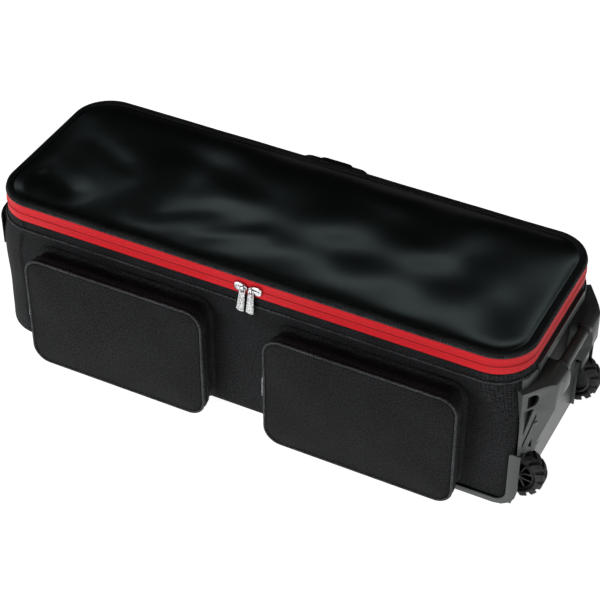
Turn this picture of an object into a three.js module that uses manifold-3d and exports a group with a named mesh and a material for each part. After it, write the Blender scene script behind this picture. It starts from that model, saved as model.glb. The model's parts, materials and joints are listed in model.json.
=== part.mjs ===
// Wheeled case for drum hardware: a padded fabric tub with a zipped vinyl lid, two front pockets,
// and a moulded wheel end that carries the wheels and a grip bar.
// Millimetres, +Z up. X runs along the case towards the wheels, -Y is the pocket side.
// The origin is on the floor, under the centre of the tub.

import * as THREE from 'three';
import { mergeVertices } from 'three/addons/utils/BufferGeometryUtils.js';
import Module from 'manifold-3d';

const wasm = await Module();
wasm.setup();

// General fits
const seatGap = 0.3;
const overrun = 20;

// Fabric tub
const bodyLength = 1000;
const bodyDepth = 350;
const rimHeight = 276;
const bodyBase = 6;
const wallThickness = 8;
const cornerRadius = 70;
const wheelCornerRadius = 16;
const lowerEdgeRadius = 12;
const endBulge = 14;
const cornerFlareStart = 130;
const bindingDrop = 18;
const bindingBead = 4;
const bindingProud = 1.5;

// Stiff insert on the tub's floor
const boardThickness = 3;
const boardClearance = 1.5;

// Zip band round the rim
const zipBandHeight = 32;
const tapeThickness = 1.2;
const coilWidth = 2.4;
const coilThickness = 3;
const coilProud = 1;
const zipRunBehindCorner = 40;

// Lid
const pipingBead = 4;
const pipingProud = 0.8;
const borderWidth = 14;
const borderRise = 6;
const borderRound = 5;
const skirtThickness = 4;
const panelThickness = 2;
const panelDrop = 4;
const panelSag = 12;
const panelWave = 2;

// Main zip sliders and pulls
const sliderLength = 25;
const sliderHeight = 18;
const sliderHeelShare = 0.7;
const sliderNoseShare = 0.45;
const sliderThickness = 3.7;
const sliderSpacing = 27;
const sliderMiddle = 13;
const archWidth = 3;
const archThickness = 1.6;
const archReach = 5.4;
const archHeight = 12;
const archShift = 5.5;
const eyeBarRadius = 1;
const eyeStandOff = 2.2;
const eyeWindowWidth = 7;
const eyeWindowHeight = 6.4;
const pullLength = 50;
const pullTopWidth = 11;
const pullEndWidth = 15;
const pullThickness = 1.6;
const pullLeanLeft = 7;
const pullLeanRight = 4;

// Front pockets
const pocketWidth = 352;
const pocketTopGap = 37;
const pocketBase = 7;
const pocketDepth = 50;
const pocketRadius = 32;
const pocketWall = 3;
const pocketCrown = 7;
const pocketLeftCentre = -231;
const pocketRightCentre = 239;
const pocketRimDepth = 12.5;
const pocketZipHeight = 108;
const pocketPipingRadius = 2.4;
const pocketSliderHeight = 138;
const pocketSliderShare = 0.75;
const pocketSliderLift = 0.8;

// Wheels
const wheelRadius = 47.5;
const wheelWidth = 30;
const wheelSetback = 3;
const wheelInset = 28;
const lugHeight = 4;
const lugCount = 13;
const tyreInnerRadius = 33;
const rimLip = 5;
const rimClearance = 0.3;
const hubRadius = 10;
const spokePairs = 5;
const spokeWidth = 3;
const spokeDepth = 9;
const bushWall = 2.6;
const axleRadius = 4;
const axleClearance = 0.3;
const axleHeadRadius = 6.5;
const axleHeadHeight = 3;

// Moulded wheel base
const trayLength = 190;
const trayRise = 1.2;
const guardThickness = 3;
const guardStripHeight = 11;
const guardLegWidth = 19;
const guardReach = 12;
const guardTop = 122;
const guardOuterRadius = 40;
const guardFoot = 0.5;
const wellWall = 2.5;
const wellSideGap = 7;
const wellTopGap = 3;

// Moulded end frame, its arms and the grip bar
const frameThickness = 3;
const frameDrop = 3;
const flangeWrap = 9;
const flangeStart = 2;
const topBarHeight = 20;
const topBarProud = 2.5;
const topBarInset = 71;
const recessInset = 83;
const recessBase = 128;
const armDrop = 18;
const armWall = 3;
const armReach = 43;
const armNoseRadius = 22;
const armNoseHeight = 42;
const armLegReach = 20;
const armLegTop = 116;
const armBase = 101;
const plateStartInset = 20;
const plateEndInset = 74;
const plateReach = 37.5;
const armCornerRadius = 16;
const gripInset = 123;
const gripRadius = 10;
const gripReach = 27;
const collarRadius = 12;
const collarLength = 6;
const strutInset = 78;
const grilleSlots = 3;
const grilleSlotWidth = 1.6;
const grillePitch = 3.4;
const grilleSlotHeight = 15;
const grilleDrop = 22;
const screwRadius = 3.4;
const screwHeadHeight = 1.6;

// Runners under the tub
const runnerStartInset = 48;
const runnerGap = 6;
const runnerInset = 57;
const runnerWidth = 22;

// Webbing handle at the plain end
const endHandleHeight = 60;
const endHandleDrop = 90;
const endHandleThickness = 3;
const endHandleStandOff = 24;
const endHandleWrapShare = 0.42;

// Carry handle on the back
const rearHandleCentre = -22;
const rearHandleDrop = 28;
const rearHandleSpan = 150;
const rearHandleReach = 58;
const rearHandleTilt = 28;
const strapWidth = 26;
const strapThickness = 4;
const wrapLength = 70;
const wrapHeight = 32;
const wrapThickness = 10;
const patchWidth = 36;
const patchHeight = 62;
const patchThickness = 2.4;

// Steps used for curved faces
const cornerSteps = 4;
const turnSteps = 26;
const gripSteps = 20;
const boreSteps = 16;
const smallSteps = 10;
const bowSteps = 14;
const roundSteps = 3;
const pipingSides = 6;

// Values worked out from the sizes above
const halfLength = bodyLength / 2;
const halfDepth = bodyDepth / 2;
const bindingHeight = rimHeight - bindingDrop;
const pocketHeight = rimHeight - pocketTopGap - pocketBase;
const zipLine = rimHeight + zipBandHeight / 2;
const bandTop = rimHeight + zipBandHeight;
const wheelZ = wheelRadius;
const wheelCentreX = halfLength - wheelSetback;
const wheelOuterY = halfDepth - wheelInset;
const wheelMiddleY = wheelOuterY - wheelWidth / 2;
const wheelInnerY = wheelOuterY - wheelWidth;
const wellInnerY = wheelInnerY - wellSideGap - wellWall;
const wellOuterY = wheelOuterY + wellSideGap + wellWall;
const wellTop = wheelZ + wheelRadius + wellTopGap + wellWall;
const wellBackX = wheelCentreX - wheelRadius - wellSideGap - wellWall;
const trayStart = halfLength - trayLength;
const guardLegX = halfLength + guardReach;
const frameTop = bindingHeight - frameDrop;
const topBarHalfWidth = halfDepth - topBarInset;
const recessHalfWidth = halfDepth - recessInset;
const armTop = frameTop - armDrop;
const armNoseBase = armTop - armNoseHeight;
const armLegX = halfLength + armLegReach;
const plateStartX = halfLength;
const plateStartY = halfDepth - plateStartInset;
const plateEndX = halfLength + plateReach;
const plateEndY = halfDepth - plateEndInset;
const plateLength = Math.hypot(plateEndX - plateStartX, plateStartY - plateEndY);
const plateAngle = Math.atan2(plateStartY - plateEndY, plateEndX - plateStartX);
const gripHalfLength = halfDepth - gripInset;
const gripX = halfLength + gripReach;
const gripZ = armTop - gripRadius;
const strutY = halfDepth - strutInset;
const runnerStart = runnerStartInset - halfLength;
const runnerY = halfDepth - runnerInset;
const endHandleBase = rimHeight - endHandleDrop;
const rearHandleHinge = rimHeight - rearHandleDrop;
const frontFace = -halfDepth;
const zipEndX = halfLength - cornerRadius - zipRunBehindCorner;

// Materials
function material(color, roughness, metalness = 0) {
  return new THREE.MeshStandardMaterial({ color, roughness, metalness });
}

const fabric = material(0x1a1b1d, 0.85);
const vinyl = material(0x1c2224, 0.32);
const webbing = material(0x17181a, 0.8);
const redTape = material(0xd8202c, 0.6);
const mouldedPlastic = material(0x3d403f, 0.5);
const tyreRubber = material(0x2c2e2e, 0.8);
const rimPlastic = material(0x222424, 0.45);
const steel = material(0xc4c6c8, 0.25, 1);
const nylon = material(0x8d8f90, 0.5);
const hardBoard = material(0x2a2826, 0.7);

// Solids

// Signed volume of a closed indexed geometry, positive when its faces point out.
function signedVolume(geometry) {
  const point = geometry.attributes.position;
  const index = geometry.index.array;
  const a = new THREE.Vector3();
  const b = new THREE.Vector3();
  const c = new THREE.Vector3();
  let volume = 0;
  for (let i = 0; i < index.length; i += 3) {
    a.fromBufferAttribute(point, index[i]);
    b.fromBufferAttribute(point, index[i + 1]);
    c.fromBufferAttribute(point, index[i + 2]);
    volume += a.dot(b.cross(c)) / 6;
  }
  return volume;
}

// A closed geometry as a solid for joining and cutting.
function solid(geometry) {
  const bare = geometry.clone();
  bare.deleteAttribute('normal');
  bare.deleteAttribute('uv');
  const merged = mergeVertices(bare);
  const triVerts = new Uint32Array(merged.index.array);
  if (signedVolume(merged) < 0) {
    triVerts.reverse();
  }
  const vertProperties = new Float32Array(merged.attributes.position.array);
  return new wasm.Manifold(new wasm.Mesh({ numProp: 3, vertProperties, triVerts }));
}

function join(...parts) {
  return parts.reduce((whole, part) => whole.add(part));
}

function cut(whole, ...tools) {
  return tools.reduce((rest, tool) => rest.subtract(tool), whole);
}

function geometryOf(manifold) {
  const mesh = manifold.getMesh();
  const geometry = new THREE.BufferGeometry();
  geometry.setAttribute('position', new THREE.BufferAttribute(new Float32Array(mesh.vertProperties), 3));
  geometry.setIndex(new THREE.BufferAttribute(new Uint32Array(mesh.triVerts), 1));
  geometry.computeVertexNormals();
  return geometry;
}

// A block given by its limits along each axis.
function block(x, y, z) {
  const geometry = new THREE.BoxGeometry(x[1] - x[0], y[1] - y[0], z[1] - z[0]);
  geometry.translate((x[0] + x[1]) / 2, (y[0] + y[1]) / 2, (z[0] + z[1]) / 2);
  return solid(geometry);
}

// An outline in X and Y carried up from one height to another.
function prism(outline, low, high, holes = []) {
  const shape = new THREE.Shape(outline);
  shape.holes = holes.map((hole) => new THREE.Path(hole));
  const geometry = new THREE.ExtrudeGeometry(shape, { depth: high - low, bevelEnabled: false });
  geometry.translate(0, 0, low);
  return solid(geometry);
}

// An outline in X and Z carried along Y between two places.
function sidePrism(outline, near, far) {
  const shape = new THREE.Shape(outline);
  const geometry = new THREE.ExtrudeGeometry(shape, { depth: far - near, bevelEnabled: false });
  geometry.rotateX(Math.PI / 2);
  geometry.translate(0, far, 0);
  return solid(geometry);
}

// A profile of radius and height turned about the Y axis.
function turned(profile, steps = turnSteps) {
  return solid(new THREE.LatheGeometry([...profile, profile[0]], steps));
}

function ringAbout(inner, outer, low, high, steps = turnSteps) {
  return turned([
    new THREE.Vector2(inner, low),
    new THREE.Vector2(outer, low),
    new THREE.Vector2(outer, high),
    new THREE.Vector2(inner, high),
  ], steps);
}

function discAbout(radius, low, high, steps = turnSteps) {
  const geometry = new THREE.CylinderGeometry(radius, radius, high - low, steps);
  geometry.translate(0, (low + high) / 2, 0);
  return solid(geometry);
}

// Closed solid through a stack of rings that all have the same number of points.
function loft(rings) {
  const count = rings[0].length;
  const positions = rings.flat().flatMap((point) => [point.x, point.y, point.z]);
  const indices = [];
  for (let ring = 0; ring + 1 < rings.length; ring += 1) {
    for (let i = 0; i < count; i += 1) {
      const a = ring * count + i;
      const b = ring * count + ((i + 1) % count);
      indices.push(a, b, b + count, a, b + count, a + count);
    }
  }
  const last = (rings.length - 1) * count;
  const lowCap = THREE.ShapeUtils.triangulateShape(rings[0].map((p) => new THREE.Vector2(p.x, p.y)), []);
  const highCap = THREE.ShapeUtils.triangulateShape(rings.at(-1).map((p) => new THREE.Vector2(p.x, p.y)), []);
  lowCap.forEach(([a, b, c]) => indices.push(a, c, b));
  highCap.forEach(([a, b, c]) => indices.push(a + last, b + last, c + last));
  const geometry = new THREE.BufferGeometry();
  geometry.setAttribute('position', new THREE.Float32BufferAttribute(positions, 3));
  geometry.setIndex(indices);
  return geometry;
}

// Rounded rectangle, counter-clockwise from the front right corner.
// radii holds the right and the left corner radius, steps the facets of a corner and of the sides.
function roundedOutline(x, y, radii, steps = cornerSteps, sideSteps = [1, 1]) {
  const [right, left] = radii;
  const corners = [
    [x[1] - right, y[0] + right, right, -Math.PI / 2],
    [x[1] - right, y[1] - right, right, 0],
    [x[0] + left, y[1] - left, left, Math.PI / 2],
    [x[0] + left, y[0] + left, left, Math.PI],
  ];
  const points = [];
  corners.forEach(([cx, cy, radius, start], corner) => {
    for (let i = 0; i <= steps; i += 1) {
      const angle = start + (Math.PI / 2) * (i / steps);
      points.push(new THREE.Vector2(cx + radius * Math.cos(angle), cy + radius * Math.sin(angle)));
    }
    const [nx, ny, nextRadius, nextStart] = corners[(corner + 1) % corners.length];
    const next = new THREE.Vector2(
      nx + nextRadius * Math.cos(nextStart),
      ny + nextRadius * Math.sin(nextStart),
    );
    const from = points.at(-1).clone();
    const pieces = sideSteps[(corner + 1) % 2];
    for (let i = 1; i < pieces; i += 1) {
      points.push(from.clone().lerp(next, i / pieces));
    }
  });
  return points;
}

function atHeight(points, z) {
  return points.map((point) => new THREE.Vector3(point.x, point.y, z));
}

// Points of an arc, ends included.
function arc(cx, cy, radius, from, to, steps = cornerSteps) {
  const points = [];
  for (let i = 0; i <= steps; i += 1) {
    const angle = from + (to - from) * (i / steps);
    points.push(new THREE.Vector2(cx + radius * Math.cos(angle), cy + radius * Math.sin(angle)));
  }
  return points;
}

// Smooth step from 0 to 1 between two limits.
function smooth(value, low, high) {
  return THREE.MathUtils.smoothstep(value, low, high);
}

// Scene helpers
const hardwareCase = new THREE.Group();

function mesh(name, shape, surface, parent = hardwareCase) {
  const geometry = shape.isBufferGeometry ? shape : geometryOf(shape);
  const node = new THREE.Mesh(geometry, surface);
  node.name = name;
  parent.add(node);
  return node;
}

function groupAt(x, y, z) {
  const group = new THREE.Group();
  group.position.set(x, y, z);
  hardwareCase.add(group);
  return group;
}

// Fabric tub

// Plan corner radius at the wheel end: small where the moulded base holds it, full at the rim.
function wheelEndRadius(z) {
  return wheelCornerRadius + (cornerRadius - wheelCornerRadius) * smooth(z, cornerFlareStart, bindingHeight);
}

// How far the soft plain end bulges past the rim.
function bulge(z) {
  return endBulge * (1 - smooth(z, bindingHeight - endBulge * 4, rimHeight));
}

// Outline of the tub at a height, grown outwards by a thickness.
function tubRing(z, grow = 0) {
  const rise = Math.min(z - bodyBase, lowerEdgeRadius);
  const inset = lowerEdgeRadius - Math.sqrt(lowerEdgeRadius ** 2 - (lowerEdgeRadius - rise) ** 2);
  const out = grow - inset;
  return roundedOutline(
    [-halfLength - bulge(z) - out, halfLength + out],
    [-halfDepth - out, halfDepth + out],
    [wheelEndRadius(z) + out, cornerRadius + out],
  );
}

const tubHeights = [
  bodyBase,
  bodyBase + lowerEdgeRadius * 0.14,
  bodyBase + lowerEdgeRadius * 0.5,
  bodyBase + lowerEdgeRadius,
  cornerFlareStart,
  cornerFlareStart + (bindingHeight - cornerFlareStart) * 0.25,
  cornerFlareStart + (bindingHeight - cornerFlareStart) * 0.5,
  cornerFlareStart + (bindingHeight - cornerFlareStart) * 0.75,
  bindingHeight,
  rimHeight,
];

function tubSolid(grow) {
  return solid(loft(tubHeights.map((z) => atHeight(tubRing(z, grow), z))));
}

// Room for the moulded wheel wells, on both sides.
function wellRoom(clearance) {
  return [-1, 1].map((side) => {
    const y = [wellInnerY - clearance, wellOuterY + clearance].map((value) => value * side);
    return block(
      [wellBackX - clearance, halfLength + overrun],
      y.sort((a, b) => a - b),
      [-overrun, wellTop + clearance],
    );
  });
}

function makeBody() {
  const innerHeights = [bodyBase + wallThickness, ...tubHeights.slice(4, -1), rimHeight + overrun];
  const inner = loft(innerHeights.map((z) => {
    const level = Math.min(z, rimHeight);
    return atHeight(tubRing(Math.max(level, bodyBase + lowerEdgeRadius), -wallThickness), z);
  }));
  const shell = cut(tubSolid(0), solid(inner), ...wellRoom(seatGap));
  mesh('body_shell', shell, fabric);

  const boardZ = bodyBase + wallThickness + seatGap;
  const boardOutline = roundedOutline(
    [-halfLength + wallThickness + boardClearance, halfLength - wallThickness - boardClearance],
    [-halfDepth + wallThickness + boardClearance, halfDepth - wallThickness - boardClearance],
    [wheelCornerRadius - wallThickness - boardClearance, cornerRadius - wallThickness],
  );
  const board = cut(prism(boardOutline, boardZ, boardZ + boardThickness), ...wellRoom(boardClearance));
  mesh('floor_board', board, hardBoard);
}

// Binding bead below the zip, stopped where the moulded frame covers the end.
function makeBinding() {
  const low = bindingHeight - bindingBead / 2;
  const high = bindingHeight + bindingBead / 2;
  const all = bodyLength;
  const slab = block([-all, all], [-all, all], [low, high]);
  const frameRoom = block(
    [halfLength - overrun, all],
    [-topBarHalfWidth - seatGap * 2, topBarHalfWidth + seatGap * 2],
    [low - overrun, high + overrun],
  );
  const ring = cut(tubSolid(bindingProud + seatGap).intersect(slab), tubSolid(seatGap), frameRoom);
  mesh('body_binding', ring, fabric);
}

// Zip band

function rimOutline(inset, sideSteps) {
  const radius = cornerRadius - inset;
  return roundedOutline(
    [-halfLength + inset, halfLength - inset],
    [-halfDepth + inset, halfDepth - inset],
    [radius, radius],
    cornerSteps,
    sideSteps,
  );
}

function rimRing(outerInset, innerInset, low, high) {
  return prism(rimOutline(outerInset), low, high, [rimOutline(innerInset)]);
}

// One half of the zip: a flat tape with the coil along the edge that meets the other half.
function zipHalf(low, high, coilLow) {
  const band = rimRing(0, tapeThickness, low, high);
  const coil = rimRing(-coilProud, coilThickness - coilProud, coilLow, coilLow + coilWidth);
  const backGap = block(
    [-zipEndX, zipEndX],
    [halfDepth - overrun, halfDepth + overrun],
    [low - overrun, high + overrun],
  );
  return cut(join(band, coil), backGap);
}

function makeZip() {
  const lowerTop = zipLine - seatGap;
  mesh('zip_tape_lower', zipHalf(rimHeight + seatGap, lowerTop, lowerTop - coilWidth), redTape);
  mesh('zip_tape_upper', zipHalf(zipLine, bandTop - seatGap, zipLine), redTape);
  const hinge = (low, high) => block(
    [-zipEndX + seatGap, zipEndX - seatGap],
    [halfDepth - tapeThickness, halfDepth],
    [low, high],
  );
  mesh('hinge_strip_lower', hinge(rimHeight + seatGap, lowerTop), fabric);
  mesh('hinge_strip_upper', hinge(zipLine, bandTop - seatGap), fabric);
}

// Lid

function makeLid() {
  const pipingTop = bandTop + pipingBead;
  mesh('lid_piping', rimRing(-pipingProud, pipingBead, bandTop, pipingTop), fabric);

  const shoulder = pipingTop + seatGap;
  const top = shoulder + borderRise;
  const ledge = pipingBead + seatGap;
  const rounds = [0, 0.3, 0.6, 0.85, 1].map((share) => {
    const inset = borderRound * (1 - Math.sqrt(1 - share ** 2));
    return atHeight(rimOutline(seatGap + inset), shoulder + borderRise * share);
  });
  const crown = solid(loft(rounds));
  const skirt = rimRing(tapeThickness + seatGap, ledge + skirtThickness, zipLine + coilWidth * 1.5, bandTop);
  const neck = rimRing(ledge, ledge + skirtThickness, bandTop - seatGap, shoulder + seatGap);
  const opening = [-1, 0, 0.35, 0.7, 1].map((share) => {
    const lip = borderRound * (1 - Math.sqrt(1 - Math.max(share, 0) ** 2));
    return atHeight(rimOutline(borderWidth - lip), shoulder + borderRise * share);
  });
  opening.push(atHeight(rimOutline(borderWidth - borderRound), top + overrun));
  const border = cut(join(crown, neck, skirt), solid(loft(opening)));
  mesh('lid_border', border, fabric);

  mesh('lid_panel', vinylPanel(top - panelDrop), vinyl);
}

// Height of the slack vinyl over the lid: a shallow bowl with a few broad waves across it.
function panelHeight(point, edgeZ, share) {
  const bowl = panelSag * (1 - (1 - share) ** 2);
  const along = (point.x / halfLength) * Math.PI;
  const across = (point.y / halfDepth) * Math.PI;
  const wave = panelWave * share * Math.sin(2.5 * along + 0.8 * across) * Math.cos(0.9 * across);
  return edgeZ - bowl + wave;
}

function vinylPanel(edgeZ) {
  const outer = borderWidth + seatGap;
  const inner = halfDepth - outer / 2;
  const ringShares = [0, 0.1, 0.4, 1];
  const surface = (drop) => ringShares.map((share) => {
    const inset = outer + (inner - outer) * share;
    const radius = Math.max(cornerRadius - inset, outer / 6);
    const outline = roundedOutline(
      [-halfLength + inset, halfLength - inset],
      [-halfDepth + inset, halfDepth - inset],
      [radius, radius],
      cornerSteps / 2,
      [10, 2],
    );
    return outline.map((p) => new THREE.Vector3(p.x, p.y, panelHeight(p, edgeZ, share) - drop));
  });
  return solid(loft([...surface(panelThickness).reverse(), ...surface(0)]));
}

// Sliders and pulls

// A slider's plate facing -Y with its nose at +X: widest at the shoulders, narrower at the heel and the nose.
function sliderPlate(share) {
  const end = (sliderLength * share) / 2;
  const edge = (sliderHeight * share) / 2;
  const heel = edge * sliderHeelShare;
  const nose = edge * sliderNoseShare;
  const outline = [
    new THREE.Vector2(-end, -heel),
    new THREE.Vector2(-end + (edge - heel), -edge),
    new THREE.Vector2(0, -edge),
    new THREE.Vector2(end, -nose),
    new THREE.Vector2(end, nose),
    new THREE.Vector2(0, edge),
    new THREE.Vector2(-end + (edge - heel), edge),
    new THREE.Vector2(-end, heel),
  ];
  return sidePrism(outline, -sliderThickness * share, 0);
}

// A slider whose upright arch crosses the pull's eye bar. Origin: the plate's back face, at its middle.
// The plate turns about Y by plateTurn degrees, and the arch stands shift towards +X.
function sliderSolid(share, plateTurn, shift) {
  const half = (archHeight * share) / 2;
  const reach = (sliderThickness + archReach) * share;
  const wall = archThickness * share;
  const arch = block([-archWidth * share / 2, archWidth * share / 2], [-reach, -wall / 2], [-half, half]);
  const bore = block(
    [-overrun, overrun],
    [-reach + wall, -sliderThickness * share],
    [-half + wall, half - wall],
  );
  return join(cut(arch, bore).translate([shift, 0, 0]), sliderPlate(share).rotate([0, plateTurn, 0]));
}

// A pull built hanging from its eye bar. Origin: the bar's axis, which is the hinge line.
function pullSolid(share) {
  const top = (pullTopWidth * share) / 2;
  const end = (pullEndWidth * share) / 2;
  const barTop = eyeBarRadius * share;
  const long = pullLength * share;
  const outline = [
    new THREE.Vector2(-top, barTop),
    new THREE.Vector2(-end, -long + end),
    ...arc(0, -long + end, end, Math.PI, 2 * Math.PI, roundSteps * 2).slice(1, -1),
    new THREE.Vector2(end, -long + end),
    new THREE.Vector2(top, barTop),
  ];
  const half = (pullThickness * share) / 2;
  const plate = sidePrism(outline, -half, half);
  const window = block(
    [-eyeWindowWidth * share / 2, eyeWindowWidth * share / 2],
    [-overrun, overrun],
    [-(eyeBarRadius + eyeWindowHeight) * share, -eyeBarRadius * share],
  );
  const bar = new THREE.CylinderGeometry(barTop, barTop, top * 2, smallSteps);
  bar.rotateZ(Math.PI / 2);
  return join(cut(plate, window), solid(bar));
}

// The two sliders stand nose to nose, and both pulls hang over to the left.
function makeSliders() {
  [['left', -1, pullLeanLeft], ['right', 1, pullLeanRight]].forEach(([name, side, lean]) => {
    const x = sliderMiddle + (side * sliderSpacing) / 2;
    const back = frontFace - coilProud - seatGap;
    const slider = mesh(`zip_slider_${name}`, sliderSolid(1, 90 + 90 * side, -side * archShift), steel);
    slider.position.set(x, back, zipLine);
    const pull = mesh(`zip_pull_${name}`, pullSolid(1), steel);
    pull.position.set(x - side * archShift, back - sliderThickness - eyeStandOff, zipLine);
    pull.rotation.y = THREE.MathUtils.degToRad(lean);
  });
}

// Front pockets

// Outline of a pocket in its own frame: X across, Y up from its base, centred on X.
function pocketOutline(inset) {
  const radius = pocketRadius - inset;
  return roundedOutline(
    [-pocketWidth / 2 + inset, pocketWidth / 2 - inset],
    [inset, pocketHeight - inset],
    [radius, radius],
    cornerSteps,
    [2, 2],
  );
}

// Crowned front of the pocket: the outline carried forward, then drawn in as it rises to the crown.
function pocketFront(shrink, from) {
  const rimDepth = pocketDepth - pocketPipingRadius;
  const crownRings = [0, 0.15, 0.45, 1].map((share) => {
    const inset = shrink + pocketPipingRadius * 1.5 + (pocketHeight / 2 - pocketRadius) * share;
    const depth = rimDepth - shrink + pocketPipingRadius + pocketCrown * Math.sin((share * Math.PI) / 2);
    const radius = Math.max(pocketRadius - inset, pocketRadius / 2);
    return atHeight(roundedOutline(
      [-pocketWidth / 2 + inset, pocketWidth / 2 - inset],
      [inset, pocketHeight - inset],
      [radius, radius],
      cornerSteps,
      [2, 2],
    ), depth);
  });
  return solid(loft([
    atHeight(pocketOutline(shrink), from),
    atHeight(pocketOutline(shrink), rimDepth - shrink),
    ...crownRings,
  ]));
}

// Piping cord sewn round the edge of the front panel.
function pocketPiping() {
  const rings = [];
  for (let i = 0; i < pipingSides; i += 1) {
    const angle = (i / pipingSides) * 2 * Math.PI;
    const inset = pocketPipingRadius * (0.6 - Math.cos(angle));
    const depth = pocketDepth - pocketPipingRadius * (1 - Math.sin(angle));
    rings.push(atHeight(pocketOutline(inset), depth));
  }
  return solid(closedTube(rings));
}

// Closed tube through rings, joined up again from the last to the first.
function closedTube(loops) {
  const count = loops[0].length;
  const positions = loops.flat().flatMap((point) => [point.x, point.y, point.z]);
  const indices = [];
  loops.forEach((ring, row) => {
    const next = ((row + 1) % loops.length) * count;
    for (let i = 0; i < count; i += 1) {
      const a = row * count + i;
      const b = row * count + ((i + 1) % count);
      const c = next + ((i + 1) % count);
      const d = next + i;
      indices.push(a, b, c, a, c, d);
    }
  });
  const geometry = new THREE.BufferGeometry();
  geometry.setAttribute('position', new THREE.Float32BufferAttribute(positions, 3));
  geometry.setIndex(indices);
  return geometry;
}

function makePockets() {
  const zipDepth = pocketDepth - pocketRimDepth;
  const hollow = pocketFront(pocketWall, -overrun);
  const whole = cut(join(pocketFront(0, seatGap), pocketPiping()), hollow);
  const wide = [-pocketWidth, pocketWidth];
  const frontHalf = block(
    wide,
    [pocketZipHeight, pocketHeight + overrun],
    [zipDepth, pocketDepth + pocketCrown + overrun],
  );
  const flapSpace = block(
    wide,
    [pocketZipHeight + seatGap, pocketHeight + overrun],
    [zipDepth + seatGap, pocketDepth + pocketCrown + overrun],
  );
  const shell = cut(whole, frontHalf);
  const flap = whole.intersect(flapSpace);

  [['left', pocketLeftCentre], ['right', pocketRightCentre]].forEach(([name, centre]) => {
    const pocket = groupAt(centre, frontFace, pocketBase);
    const upright = new THREE.Group();
    upright.rotation.x = Math.PI / 2;
    pocket.add(upright);
    mesh(`pocket_shell_${name}`, shell, fabric, upright);
    mesh(`pocket_flap_${name}`, flap, fabric, upright);

    const side = new THREE.Group();
    side.position.set(-pocketWidth / 2 - pocketSliderLift, -zipDepth, pocketSliderHeight - pocketBase);
    side.rotation.z = -Math.PI / 2;
    pocket.add(side);
    mesh(`pocket_slider_${name}`, sliderSolid(pocketSliderShare, -90, 0), steel, side);
    const pull = mesh(`pocket_pull_${name}`, pullSolid(pocketSliderShare), steel, side);
    pull.position.y = -(sliderThickness + eyeStandOff) * pocketSliderShare;
  });
}

// Wheels

// One tread block, drawn flat as turn, width and radius and then wrapped round the wheel's axis.
function lugBlock(turn, side) {
  const pitch = (2 * Math.PI) / lugCount;
  const root = wheelRadius - lugHeight * 2.6;
  const half = wheelWidth / 2;
  const inner = lugHeight * 0.2;
  const places = [
    [turn - pitch * 0.28, inner, 0],
    [turn + pitch * 0.28, inner, 0],
    [turn + pitch * 0.62, half, lugHeight * 0.7],
    [turn + pitch * 0.14, half, lugHeight * 0.7],
  ];
  const row = (radius) => places.map(([angle, y, drop]) => new THREE.Vector3(angle, y, radius - drop));
  const geometry = loft([row(root), row(wheelRadius)]);
  const point = geometry.attributes.position;
  for (let i = 0; i < point.count; i += 1) {
    const angle = point.getX(i);
    const radius = point.getZ(i);
    point.setXYZ(i, radius * Math.cos(angle), side * point.getY(i), radius * Math.sin(angle));
  }
  return solid(geometry);
}

function tyreSolid() {
  const half = wheelWidth / 2;
  const base = wheelRadius - lugHeight;
  const v = (r, y) => new THREE.Vector2(r, y);
  const carcass = turned([
    v(tyreInnerRadius, -half * 0.72),
    v(tyreInnerRadius + lugHeight, -half * 0.94),
    v(base, -half * 0.94),
    v(base, half * 0.94),
    v(tyreInnerRadius + lugHeight, half * 0.94),
    v(tyreInnerRadius, half * 0.72),
  ], turnSteps);
  const pitch = (2 * Math.PI) / lugCount;
  const lugs = [];
  for (let i = 0; i < lugCount; i += 1) {
    lugs.push(lugBlock(i * pitch, 1), lugBlock((i + 0.5) * pitch, -1));
  }
  return join(carcass, ...lugs);
}

// A pair of spokes that leave the hub together and bend apart towards the rim.
function spoke(turn, bend, outer) {
  const inner = hubRadius * 0.8;
  const centre = (share) => {
    const radius = inner + (outer - inner) * share;
    const angle = turn + bend * (0.1 + 0.26 * Math.sin((share * Math.PI) / 2));
    return [radius, angle];
  };
  const shares = [0, 0.35, 0.7, 1];
  const edge = (side) => shares.map((share) => {
    const [radius, angle] = centre(share);
    const off = (side * spokeWidth) / 2 / radius;
    return new THREE.Vector2(radius * Math.cos(angle + off), radius * Math.sin(angle + off));
  });
  return [...edge(-1), ...edge(1).reverse()];
}

function rimSolid() {
  const half = wheelWidth / 2;
  const outer = tyreInnerRadius - rimClearance;
  const v = (r, y) => new THREE.Vector2(r, y);
  const barrel = turned([
    v(outer - rimLip, -half * 0.7),
    v(outer, -half * 0.7),
    v(outer, half * 0.7),
    v(outer - rimLip * 0.6, half * 0.92),
    v(outer - rimLip, half * 0.8),
  ], turnSteps);
  const hub = discAbout(hubRadius, -half, half, boreSteps);
  const spokes = [];
  for (let i = 0; i < spokePairs; i += 1) {
    const turn = (i / spokePairs) * 2 * Math.PI;
    [-1, 1].forEach((bend) => {
      const bar = sidePrism(spoke(turn, bend, outer - rimLip * 0.5), half * 0.75 - spokeDepth, half * 0.75);
      spokes.push(bar);
    });
  }
  const webY = -half * 0.3;
  const web = discAbout(outer - rimLip * 0.5, webY - spokeWidth / 2, webY + spokeWidth / 2, turnSteps);
  const bore = discAbout(axleRadius + axleClearance + bushWall + seatGap, -overrun, overrun, boreSteps);
  return cut(join(barrel, hub, web, ...spokes), bore);
}

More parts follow.
